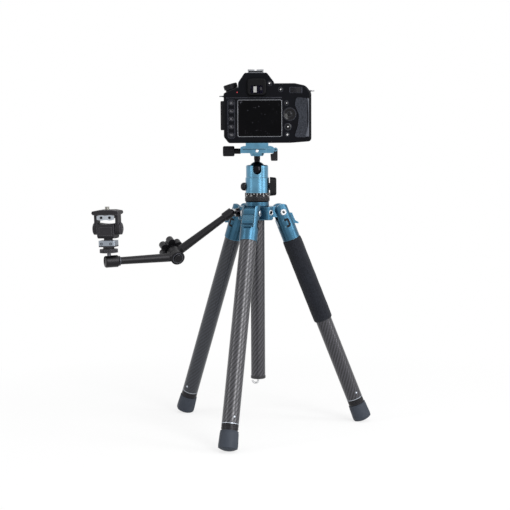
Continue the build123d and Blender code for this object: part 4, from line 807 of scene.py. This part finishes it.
# %% [markdown]
# The next pieces are milled or printed. A block is a cube at its size and place, with its
# edges bevelled where the real ones are round. A number is text, made a mesh before it
# gets its place. Marks that belong together are joined to one piece, and a spin that
# duplicates repeats a mark round an axis.

# %% Blocks, numbers and repeats round an axis


def block(size, middle=(0, 0, 0), edge=0.0):
    drop_selection()
    bpy.ops.mesh.primitive_cube_add(size=1, location=Vector(middle) * MM, scale=Vector(size) * MM)
    bpy.ops.object.transform_apply()
    piece = bpy.context.object
    if edge:
        start_edit(piece)
        bpy.ops.mesh.bevel(offset=edge * MM, segments=2, affect="EDGES")
        end_edit()
    return piece


def numeral(text, height, place):
    drop_selection()
    bpy.ops.object.text_add()
    letters = bpy.context.object.data
    letters.body = text
    letters.size = height * 1.4 * MM  # a figure is about 0.7 of its font's size
    letters.align_x = letters.align_y = "CENTER"
    letters.extrude = 0.05 * MM
    letters.resolution_u = 3
    bpy.ops.object.convert(target="MESH")
    highlight_ring = bpy.context.object
    highlight_ring.matrix_world = place @ highlight_ring.matrix_world
    bpy.ops.object.transform_apply()
    return highlight_ring


def joined(pieces):
    drop_selection()
    for piece in pieces:
        piece.select_set(True)
    bpy.context.view_layer.objects.active = pieces[0]
    bpy.ops.object.join()
    return bpy.context.object


def repeat_round(piece, steps, degrees):
    start_edit(piece)
    turn = math.radians(degrees)
    bpy.ops.mesh.spin(steps=steps, dupli=True, angle=turn, center=(0, 0, 0), axis=(0, 0, 1))
    end_edit()


def half_width(name):
    low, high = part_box(name)
    return (high.x - low.x) / 2 / MM


BASE_R = half_width("pan_base")
print("pan base of radius", round(BASE_R, 2), "mm")

# %% [markdown]
# The pan base is black, with a white scale: a tick every 15 degrees and a number every 30.
# The ticks are one small block, repeated round the axis. The numbers are stood against the
# cylinder one by one.

# %% Pan scale
SCALE_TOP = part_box("pan_base")[1].z / MM
TICKS, TICK_DROP = 24, 1.4
FIGURE, FIGURE_DROP = 1.7, 4.1
tick = block((0.2, 0.6, 1.5), (BASE_R, 0, SCALE_TOP - TICK_DROP))
repeat_round(tick, TICKS, 360)
marks = [tick]
spot = (BASE_R * MM, 0, (SCALE_TOP - FIGURE_DROP) * MM)
stand = axes_at(spot, (0, 1, 0), (0, 0, 1), (1, 0, 0))
for number in range(0, 360, 30):
    turn = Matrix.Rotation(math.radians(number - 90), 4, "Z")
    marks.append(numeral(str(number), FIGURE, turn @ stand))
settle(joined(marks), "pan_scale", white_ink, "column", Matrix.Translation(AXIS))
print("pan scale with", TICKS, "ticks and", len(marks) - 1, "numbers")

# %% [markdown]
# The rear screen has a thin bezel, the moulded edge of its clear cover. It is a rounded
# frame, raised and bevelled, so that a narrow rim stands round the panel. It is made in
# light steel: a real edge, with a painted highlight for the light it catches.

# %% Screen bezel
screen_low, screen_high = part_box("lcd_screen")
SCREEN_W = (screen_high.x - screen_low.x) / MM
SCREEN_H = (screen_high.z - screen_low.z) / MM


def over(name, depth):
    low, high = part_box(name)
    middle = (low + high) / 2
    return facing_viewer((middle.x, depth, middle.z))


bezel = rounded_frame(SCREEN_W, SCREEN_H, 2.4, 0.55)
start_edit(bezel)
bpy.ops.mesh.extrude_region_move(TRANSFORM_OT_translate={"value": (0, 0, 0.45 * MM)})
bpy.ops.mesh.select_all(action="SELECT")
bpy.ops.mesh.normals_make_consistent(inside=False)
end_edit()
soften(bezel, 0.18, crease=CUT_CREASE)
place = over("lcd_screen", CAMERA_BACK)
# Light steel on the cover's edge: a painted highlight.
settle(bezel, "screen_bezel_highlight", dull_steel, "camera", place)
print("bezel round a screen of", round(SCREEN_W, 1), "by", round(SCREEN_H, 1), "mm")

# %% [markdown]
# Above the screen the rear cover ends in a low ledge that runs from the left edge to the
# thumb. It is a slim block, its ends drawn down and its long edges rounded, and the painted
# highlight on its upper edge shows as one thin line.

# %% Ledge above the screen
LEDGE_LENGTH = 80
LEDGE_SPOT = (-4, 65.3)
brow = block((LEDGE_LENGTH, 1.3, 1.6))
start_edit(brow)
bpy.ops.mesh.subdivide(number_cuts=3)
end_edit()
for corner in brow.data.vertices:
    corner.co.z -= 0.5 * MM * (corner.co.x / (LEDGE_LENGTH / 2 * MM)) ** 4
soften(brow, 0.35, crease=CUT_CREASE)
# The shell's pale edge colour paints the highlight along the ledge's upper edge.
settle(brow, "screen_ledge", camera_abs, "camera", on_back(*LEDGE_SPOT))
print("ledge above the screen:", len(brow.data.polygons), "faces")

# %% [markdown]
# The round rear buttons are domed and polished, so each shows a small highlight. The flat
# solids stay for collision, and a spun dome stands for each. It could be a cut sphere, but
# an outline also gives the straight side and the rounded shoulder.

# %% Domed buttons
DOMES = ("ae_lock_button", "playback_button", "info_button", "diopter_knob", "live_view_button")
FOOT = -2.4
FLANGE = 0.8  # a solid's hidden flange is this much wider than its cap


def dome_of(radius):
    side = [(0, FOOT), (radius, FOOT), (radius, 0.1), (radius - 0.12, 0.42)]
    crown = [(0.8, 0.72), (0.5, 0.9), (0.2, 0.98), (0, 1.0)]
    return side + [(radius * share, height) for share, height in crown]


for name in DOMES:
    dome = spin_outline(dome_of(half_width(name) - FLANGE), 36)
    place = over(name, CAMERA_BACK)
    settle(dome, f"{name}_dome", gloss_abs, name, place)
    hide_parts(name)
print("domed buttons:", len(DOMES))

# %% [markdown]
# The selector is a rocking pad: a rim that the thumb feels, a dished ring inside it, and a
# domed button in the middle. The dish catches the light on one side and the rim on the
# other. A cut solid has flat steps here, so the pad is spun from a rounded outline.

# %% Selector pad
PAD_R = half_width("multi_selector") - FLANGE
rim = [(0, 0.4), (0.15, 0.8), (0.5, 1.05), (1.0, 1.0), (1.9, 0.45), (3.2, 0.02)]
button = [(4.1, -0.05), (3.7, -0.2), (3.4, 0.25), (3.1, 0.6), (2.0, 0.92), (1.0, 1.03), (0, 1.05)]
pad = spin_outline(
    [(0, FOOT), (PAD_R, FOOT)] + [(PAD_R - inset, height) for inset, height in rim] + button, 56
)
place = over("multi_selector", CAMERA_BACK)
settle(pad, "selector_pad", gloss_abs, "multi_selector", place)
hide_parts("multi_selector")
print("selector pad of radius", round(PAD_R, 2), "mm")

# %% [markdown]
# Right of the thumb rubber the shell runs out in a smooth strip that curves round and
# catches the lamps. A pale grey piece stands there: a real curve of the shell, with a painted
# highlight for its colour. Its right side is a straight crease and its left side follows the
# round edge of the rubber, so it is thin in the middle and wide at both ends. A grid is
# drawn to that outline, crowned and thickened.

# %% Painted highlight strip beside the thumb rubber
STRIP_RIGHT = 75.4
STRIP_LOW, STRIP_HIGH = 9.0, 64.0
STRIP_NECK = 0.9
FLARE_UP, FLARE_DOWN = 1.6, 4.4


def grid(columns, rows):
    drop_selection()
    bpy.ops.mesh.primitive_grid_add(x_subdivisions=columns, y_subdivisions=rows, size=2)
    return bpy.context.object


strip = grid(4, 24)
for corner in strip.data.vertices:
    across, along = (corner.co.x + 1) / 2, corner.co.y
    flare = FLARE_UP if along > 0 else FLARE_DOWN
    left = STRIP_RIGHT - STRIP_NECK - flare * abs(along) ** 2.2
    height = (STRIP_LOW + STRIP_HIGH) / 2 + along * (STRIP_HIGH - STRIP_LOW) / 2
    crown = 1.25 + 0.25 * math.sin(math.pi * across) - 0.5 * across
    corner.co = Vector((left + (STRIP_RIGHT - left) * across, height, crown)) * MM
apply_modifier(strip, "SOLIDIFY", thickness=1.2 * MM, offset=-1.0)
soften(strip, 0.15, crease=CUT_CREASE)
settle(strip, "thumb_edge_highlight", strip_highlight_abs, "camera", on_back(0, 0))
print("highlight strip:", len(strip.data.polygons), "faces")

# %% [markdown]
# The eyepiece glass shows one bright reflection and one dim one. Each is painted as a
# bevelled block behind the glass that glows, though it is no lamp: a painted reflection.

# %% Painted reflections in the eyepiece
REFLECTION_DEPTH = -3.6
REFLECTION_PATCHES = ((1, -2.4, 77.3, 4.6, 8.6, 10.0), (2, 6.2, 78.3, 3.0, 4.4, 1.0))


def glowing(name, colour, strength):
    material, tree, shader, where = new_finish(name, Roughness=0.7, Emission_Strength=strength)
    # A noise of about 2 mm varies the glow's tone.
    grain = add(tree, "TexNoise", {"Vector": where, "Scale": grains(2.0), "Detail": 2.0})
    tones = {0: grain, 6: linear(colour), 7: linear("#B0A898")}
    tone = add(tree, "Mix", tones, data_type="RGBA")
    feed(shader, {"Base Color": tone, "Emission Color": tone})
    return material


# Glowing blocks: painted reflections on the eyepiece glass.
for number, x, z, width, height, strength in REFLECTION_PATCHES:
    patch = block((width, height, 0.6), (0, 0, REFLECTION_DEPTH), edge=0.2)
    finish = glowing(f"eyepiece_glow_{number}", "#F0E2CC", strength)
    settle(patch, f"eyepiece_reflection_{number}", finish, "camera", on_back(x, z))
print("painted reflections in the eyepiece:", len(REFLECTION_PATCHES), "patches")

# %% [markdown]
# The hot shoe has a stop at its front end, a folded plate that a flash foot runs against,
# and a contact pad with round pins in its floor. Two bright steel blocks at its rear end are
# painted highlights, for the light caught by the rear ends of the shoe's lips. They are
# small bevelled blocks, and the pins are spun.

# %% Stop, contacts and painted lip highlights of the hot shoe
SHOE_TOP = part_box("camera_fittings")[1].z / MM
SHOE_X, SHOE_Y = -1.4, -6.0
place = Matrix.Translation(Vector((AXIS.x / MM + SHOE_X, AXIS.y / MM + SHOE_Y, 0)) * MM)
stop = block((20.4, 1.2, 3.0), (0, 8.6, SHOE_TOP - 2.6), edge=0.25)
rest = block((13.0, 12.0, 0.5), (0, 0, SHOE_TOP - 4.05), edge=0.15)
settle(joined([stop, rest]), "shoe_stop", camera_abs, "camera", place)
pin = spin_outline([(0, 0), (0.9, 0), (0.9, 0.3), (0.6, 0.5), (0, 0.55)], 20)
pins = []
for x, y in ((0, 0), (-3.6, 2.6), (3.6, 2.6), (-3.6, -2.6)):
    pins.append(copied(pin))
    pins[-1].location = Vector((x, y, SHOE_TOP - 3.95)) * MM
discard(pin)
settle(joined(pins), "shoe_contacts", steel, "camera", place)
# Bright blocks: painted highlights on the rear ends of the shoe's lips.
lip_highlights = [
    block((width, 0.8, 2.6), (x, -9.9, SHOE_TOP - 1.5), edge=0.35)
    for x, width in ((-6.0, 9.0), (5.6, 8.4))
]
settle(joined(lip_highlights), "shoe_lip_highlights", dull_steel, "camera", place)
print("hot shoe top at", round(SHOE_TOP, 1), "mm")

# %% [markdown]
# Small plain symbols are printed on the buttons: a grid, a lens for zooming in and out, a
# key, lines for a menu and a triangle for playback. They are thin blocks, rings and a disc
# with three corners, and stand a little proud of the button so that they never flicker.

# %% Printed symbols
INK = 0.1


def printed(name, shapes, body, place, finish=white_ink):
    settle(joined(shapes), name, finish, body, place)


def bar(width, height, x=0.0, y=0.0, base=0.0):
    return block((width, height, INK), (x, y, base + INK / 2))


def ring_mark(outer, inner, x=0.0, y=0.0):
    highlight_ring = spin_outline(wall(inner, outer, 0, INK), 24)
    highlight_ring.location = Vector((x, y, 0)) * MM
    return highlight_ring


def disc_mark(radius, corners):
    drop_selection()
    bpy.ops.mesh.primitive_circle_add(vertices=corners, radius=radius * MM, fill_type="NGON")
    highlight_ring = bpy.context.object
    start_edit(highlight_ring)
    bpy.ops.mesh.extrude_region_move(TRANSFORM_OT_translate={"value": (0, 0, INK * MM)})
    end_edit()
    return highlight_ring


def magnifier():
    return [ring_mark(1.25, 0.8, -0.4, 0.3), bar(0.5, 1.4, 1.0, -1.0), bar(1.0, 0.35, -0.4, 0.3)]


symbols = [
    [bar(0.9, 0.9, x, y) for x in (-1.3, 0, 1.3) for y in (-0.65, 0.65)],
    magnifier() + [bar(0.35, 1.0, -0.4, 0.3)],
    magnifier(),
    [ring_mark(0.9, 0.45, -1.0), bar(2.4, 0.4, 0.9), bar(0.4, 0.8, 1.7, -0.4)],
    [bar(3.4, 0.5, 0, y) for y in (-1, 0, 1)],
]
for row, shapes in enumerate(symbols, 1):
    name = f"menu_button_{row}"
    place = over(name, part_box(name)[0].y - 0.03 * MM)
    printed(f"menu_symbol_{row}", shapes, name, place, grey_ink)
print("menu symbols:", len(symbols))

# %% [markdown]
# The playback dome carries a printed triangle at its top. The other domed buttons carry a
# small white ring there, a painted highlight for the light that the dome catches. A red dot
# beside the eyepiece marks recording.

# %% Printed triangle, painted highlight rings and record dot
DOME_TOP = 0.98
RECORD_SPOT = (-28.4, 73.2)
DOME_HIGHLIGHT_RINGS = {
    "info_button": 1.2,
    "live_view_button": 0.9,
    "ae_lock_button": 0.9,
    "diopter_knob": 1.0,
}
place = over("playback_button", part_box("playback_button")[0].y + 0.05 * MM)
place = place @ Matrix.Rotation(-math.pi / 2, 4, "Z")
printed("playback_symbol", [disc_mark(1.1, 3)], "playback_button", place)
# White rings: painted highlights on the domes.
for name, radius in DOME_HIGHLIGHT_RINGS.items():
    place = over(name, CAMERA_BACK - DOME_TOP * MM)
    printed(f"{name}_mark", [ring_mark(radius, radius * 0.35)], name, place)
place = on_back(*RECORD_SPOT) @ Matrix.Translation((0, 0, -0.02 * MM))
printed("record_mark", [disc_mark(0.8, 20)], "camera", place, red_ink)
print("marks on the rear:", len(DOME_HIGHLIGHT_RINGS) + 2)

# %% [markdown]
# The mode dial carries a ring of ticks and one green square on its tilted top. The dial's
# own hinge gives its axis, so the marks turn with it.

# %% Mode dial marks
DIAL_TOP = 6.5
SQUARE_R, SQUARE_TURN = 7.4, -0.63
dial_up = joint_axis("mode_dial_turn")
across = Vector((0, 1, 0)).cross(dial_up).normalized()
place = axes_at(joint_at("mode_dial_turn"), across, dial_up.cross(across), dial_up)
strokes = bar(2.2, 0.7, 7.6, 0, DIAL_TOP)
repeat_round(strokes, 9, 288)
settle(strokes, "mode_dial_marks", white_ink, "mode_dial", place)
x, y = SQUARE_R * math.cos(SQUARE_TURN), SQUARE_R * math.sin(SQUARE_TURN)
square = bar(1.8, 1.8, x, y, DIAL_TOP)
settle(square, "mode_dial_square", green_ink, "mode_dial", place)
print("mode dial at", short(joint_at("mode_dial_turn")))

# %% [markdown]
# The monitor mount has two socket screws in its pad bar and two in its shoe plate. A screw
# head starts as a short cylinder. Its top is inset and raised to a rounded rim, inset
# again and pushed in as a socket.

# %% Socket screws on the monitor mount
SCREW_R = 1.9
BAR_HEIGHT, PLATE_HEIGHT = 63.2, 25.9


def pick_faces(piece, wanted):
    start_edit(piece)
    bpy.ops.mesh.select_mode(type="FACE")
    bpy.ops.mesh.select_all(action="DESELECT")
    bpy.ops.object.mode_set(mode="OBJECT")
    for face in piece.data.polygons:
        face.select = wanted(face)
    bpy.ops.object.mode_set(mode="EDIT")


def mount_face(x, front, height):
    return MOUNT @ facing_viewer(Vector((x, front, height)) * MM)


drop_selection()
bpy.ops.mesh.primitive_cylinder_add(vertices=24, radius=SCREW_R * MM, depth=1.2 * MM)
screw = bpy.context.object
pick_faces(screw, lambda face: face.normal.z > 0.9)
bpy.ops.mesh.inset(thickness=SCREW_R * 0.14 * MM)
bpy.ops.transform.translate(value=(0, 0, 0.15 * MM))
bpy.ops.mesh.inset(thickness=SCREW_R * 0.3 * MM)
bpy.ops.mesh.extrude_region_move(TRANSFORM_OT_translate={"value": (0, 0, -0.8 * MM)})
bpy.ops.mesh.select_all(action="SELECT")
bpy.ops.mesh.normals_make_consistent(inside=False)
end_edit(CUT_CREASE)
for number, body, x, front, height in (
    (1, "bracket", -6.4, -8.9, BAR_HEIGHT),
    (2, "bracket", 6.2, -8.9, BAR_HEIGHT),
    (3, "mount", -7.4, -8.6, PLATE_HEIGHT),
    (4, "mount", 6.4, -8.6, PLATE_HEIGHT),
):
    place = mount_face(x, front, height)
    settle(copied(screw), f"mount_screw_{number}", smooth_rubber, body, place)
discard(screw)
print("mount screws:", number)

# %% [markdown]
# A nickel face plate stands on the front of the pad bar, waisted between its two screws
# like a bow tie. A grid takes the outline, and it is thickened and bevelled.

# %% Face plate of the pad bar
PLATE_HALF = 13.2
face_plate = grid(24, 2)
for corner in face_plate.data.vertices:
    half_height = 3.1 + 0.9 * math.sin(math.pi * corner.co.x) ** 2 - 0.6 * corner.co.x**8
    corner.co = Vector((PLATE_HALF * corner.co.x, half_height * corner.co.y, 0)) * MM
apply_modifier(face_plate, "SOLIDIFY", thickness=0.8 * MM, offset=0.0)
soften(face_plate, 0.2)
place = mount_face(0, -8.4, BAR_HEIGHT)
settle(face_plate, "pad_face_plate", nickel, "bracket", place)
print("face plate:", len(face_plate.data.polygons), "faces")

# %% [markdown]
# The mount's trunk has a plain raised panel on its front, and the bracket has round pivot
# caps on its sides. The panel is a bevelled block with an inset face, and a cap is spun.

# %% Trunk panel and pivot caps
PANEL_HEIGHT, PIVOT_HEIGHT, PIVOT_REACH = 43.8, 47, 20.25
panel = block((20, 12.5, 1.4), edge=0.5)
pick_faces(panel, lambda face: face.normal.z > 0.99 and face.area > 1e-4)
bpy.ops.mesh.inset(thickness=1.3 * MM)
bpy.ops.transform.translate(value=(0, 0, -0.4 * MM))
end_edit()
place = mount_face(0, -11.0, PANEL_HEIGHT)
settle(panel, "trunk_panel", mount_plastic, "mount", place)
cap = spin_outline(
    [(0, -0.5), (7.6, -0.5), (7.6, 0.3), (6.9, 0.8), (2.6, 1.0), (2.2, 0.5), (0, 0.5)], 40
)
for way, number in ((-1, 1), (1, 2)):
    spot = Vector((way * PIVOT_REACH, 0, PIVOT_HEIGHT)) * MM
    place = MOUNT @ axes_at(spot, (0, way, 0), (0, 0, 1), (way, 0, 0))
    name = f"pivot_cap_{number}"
    settle(copied(cap), name, mount_plastic, "bracket", place)
discard(cap)
print("trunk panel and two pivot caps")

# %% [markdown]
# On the arm a blued washer lies under the head of the elbow bolt, and a thin ring closes
# the wrist cap where the rod enters it. Both are spun. The washer's place is the face of
# the lower rod's eye, measured on the rod's own points.

# %% Elbow washer and wrist ring
EYE_R = 7
WRIST_CAP = 14.9
elbow = joint_at("elbow")
toward = -joint_axis("elbow")
reach = 0.0
for corner in nodes["lower_rod"].data.vertices:
    step = corner.co - elbow
    if (step - toward * step.dot(toward)).length < EYE_R * MM:
        reach = max(reach, step.dot(toward))
along = wrist - elbow
along = (along - toward * along.dot(toward)).normalized()
washer = spin_outline(
    [(6.2, -0.1), (7.9, -0.1), (7.9, 0.25), (7.5, 0.5), (6.5, 0.5), (6.2, 0.3)], 48
)
place = axes_at(elbow + toward * reach, along, toward.cross(along), toward)
settle(washer, "elbow_washer", blued_steel, "lower_arm", place)
collar = spin_outline(
    [(5.6, -0.8), (7.0, -0.8), (7.2, -0.4), (7.2, 0.4), (7.0, 0.8), (5.6, 0.8)], 48
)
place = axes_at(wrist - along * WRIST_CAP * MM, toward, along.cross(toward), along)
settle(collar, "wrist_ring", blued_steel, "lower_arm", place)
print("washer at", round(reach / MM, 2), "mm from the elbow's middle")

# %% [markdown]
# A round bubble level sits in the side of the clamp that faces the viewer: a bright bezel
# round a small vial. It is the bright spot in the middle of the clamp. Above it, in the gap
# between the plate and the clamp, a slim dark block with rounded edges is painted shade,
# a dark line under the plate. The level is spun.

# %% Bubble level of the clamp and painted shade under its plate
LEVEL_RISE = 7.6
GAP_SHADE_SIZE, GAP_SHADE_MIDDLE = (33, 0.8, 0.9), (-4.4, -0.2, 2.7)
clamp_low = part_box("clamp_body")[0]
LEVEL_HEIGHT = clamp_low.z / MM + LEVEL_RISE
spot = Vector((AXIS.x, clamp_low.y, LEVEL_HEIGHT * MM))
place = facing_viewer(spot)
bezel_ring = spin_outline(
    [(1.7, -0.6), (2.3, -0.6), (2.3, 0.25), (2.1, 0.4), (1.8, 0.4), (1.7, 0.2)], 32
)
settle(bezel_ring, "level_bezel", steel, "clamp", place)
vial = spin_outline([(0, -0.5), (1.7, -0.5), (1.7, 0.1), (1.2, 0.3), (0.6, 0.38), (0, 0.4)], 32)
settle(vial, "level_vial", white_ink, "clamp", place)
# A dark strip: painted shade in the gap under the plate.
gap_shade = block(GAP_SHADE_SIZE, GAP_SHADE_MIDDLE, edge=0.2)
place = Matrix.Translation(spot)
settle(gap_shade, "clamp_gap_shade", smooth_rubber, "clamp", place)
print("level at height", round(LEVEL_HEIGHT, 1), "mm, liner of", len(gap_shade.data.polygons), "faces")

# %% [markdown]
# The object stands on a plain white floor in a white studio. The floor and the world show
# white to the camera and to reflections, and the floor keeps the object's shadow close to
# its feet. The light on the object comes from a softer world and from the lamps.

# %% Floor and world


def seen_white(tree):
    path = add(tree, "LightPath").outputs
    seen = {0: path["Is Camera Ray"], 1: path["Is Glossy Ray"]}
    seen = {0: add(tree, "Math", seen, operation="MAXIMUM"), 1: path["Is Transmission Ray"]}
    return add(tree, "Math", seen, operation="MAXIMUM")


drop_selection()
bpy.ops.mesh.primitive_plane_add(size=8, location=(AXIS.x, AXIS.y, 0))
floor = bpy.context.object
floor.name = "studio_floor"
paper, tree, shader, where = new_finish("white_paper", Roughness=0.9, Specular_IOR_Level=0.1)
# The paper's tone changes faintly, in clouds of about 300 mm.
fibres = add(tree, "TexNoise", {"Vector": where, "Scale": grains(300)})
tones = {0: fibres, 6: linear("#FBFBFB"), 7: linear("#FDFDFD")}
feed(shader, {"Base Color": add(tree, "Mix", tones, data_type="RGBA")})
away = add(tree, "VectorMath", {0: where, 1: AXIS}, operation="DISTANCE")
fade = add(tree, "MapRange", {0: away, 1: 0.2, 2: 0.7, 3: 0.75, 4: 1.0})
white = add(tree, "Math", {0: seen_white(tree), 1: fade}, operation="MULTIPLY")
glow = add(tree, "Emission", {"Strength": 1.0})
both = add(tree, "MixShader", {0: white, 1: shader, 2: glow})
feed(tree.nodes["Material Output"], {"Surface": both})
floor.data.materials.append(paper)

world = bpy.data.worlds.new("white_studio")
bpy.context.scene.world = world
world.use_nodes = True
tree = world.node_tree
tree.nodes.clear()
strength = add(tree, "MapRange", {0: seen_white(tree), 3: 0.5, 4: 1.0})
sky = add(tree, "Background", {"Color": (1, 1, 1, 1), "Strength": strength})
add(tree, "OutputWorld", {"Surface": sky})
print("floor:", floor.name, "world:", world.name)

# %% [markdown]
# Four large lamps light the object: two at the right, the nearer one strong, a weaker one
# at the left and one overhead. They give the tubes and the ball head their long highlights.
# A line gives a lamp's azimuth and elevation in degrees, its distance, width and height in
# metres and its power in watts.

# %% Lamps
AIM_HEIGHT = 0.28
LAMPS = {
    "right_softbox": (30, 24, 2.2, 0.7, 1.6, 29),
    "side_softbox": (70, 20, 2.2, 0.7, 1.6, 17),
    "left_softbox": (-64, 20, 2.4, 0.5, 1.8, 9),
    "top_softbox": (0, 82, 2.0, 1.6, 1.6, 8),
}
for name, (azimuth, elevation, distance, width, height, power) in LAMPS.items():
    turn, rise = math.radians(azimuth), math.radians(elevation)
    flat = math.cos(rise)
    away = Vector((math.sin(turn) * flat, -math.cos(turn) * flat, math.sin(rise)))
    spot = Vector((AXIS.x, AXIS.y, AIM_HEIGHT)) + away * distance
    drop_selection()
    bpy.ops.object.light_add(type="AREA", location=spot)
    lamp = bpy.context.object
    lamp.name = name
    lamp.data.shape = "RECTANGLE"
    lamp.data.size, lamp.data.size_y, lamp.data.energy = width, height, power
    lamp.rotation_euler = (-away).to_track_quat("-Z", "Y").to_euler()
print("lamps:", len(LAMPS))

# %% [markdown]
# The viewpoint follows the photograph: almost two metres behind the camera, level with its
# base and looking a little down, with a long lens. The frame is square, 510 by 510, and
# the focal length in pixels turns into millimetres on a 36 mm sensor.

# %% Camera
FRAME_PIXELS = 510
FOCAL_PIXELS = 1305.9
SENSOR = 36
EYE_DISTANCE, EYE_DROP = 1.9231, 0.0003
pitch, yaw, roll = math.radians(4.89), math.radians(-0.115), math.radians(-0.32)
flat = math.cos(pitch)
forward = Vector((math.sin(yaw) * flat, math.cos(yaw) * flat, -math.sin(pitch)))
level = Vector((math.cos(yaw), -math.sin(yaw), 0))
upward = level.cross(forward)
rightward = level * math.cos(roll) + upward * math.sin(roll)
upright = upward * math.cos(roll) - level * math.sin(roll)
eye = Vector((AXIS.x, AXIS.y - EYE_DISTANCE, CAMERA_BASE - EYE_DROP))
bpy.ops.object.camera_add()
viewer = bpy.context.object
viewer.name = "viewpoint"
viewer.matrix_world = axes_at(eye, rightward, upright, -forward)
viewer.data.sensor_width = SENSOR
viewer.data.lens = FOCAL_PIXELS / FRAME_PIXELS * SENSOR
viewer.data.clip_start, viewer.data.clip_end = 0.05, 50
bpy.context.scene.camera = viewer
bpy.context.scene.view_settings.view_transform = "Standard"
print("lens", round(viewer.data.lens, 1), "mm")

# %% Clear the selection
drop_selection()
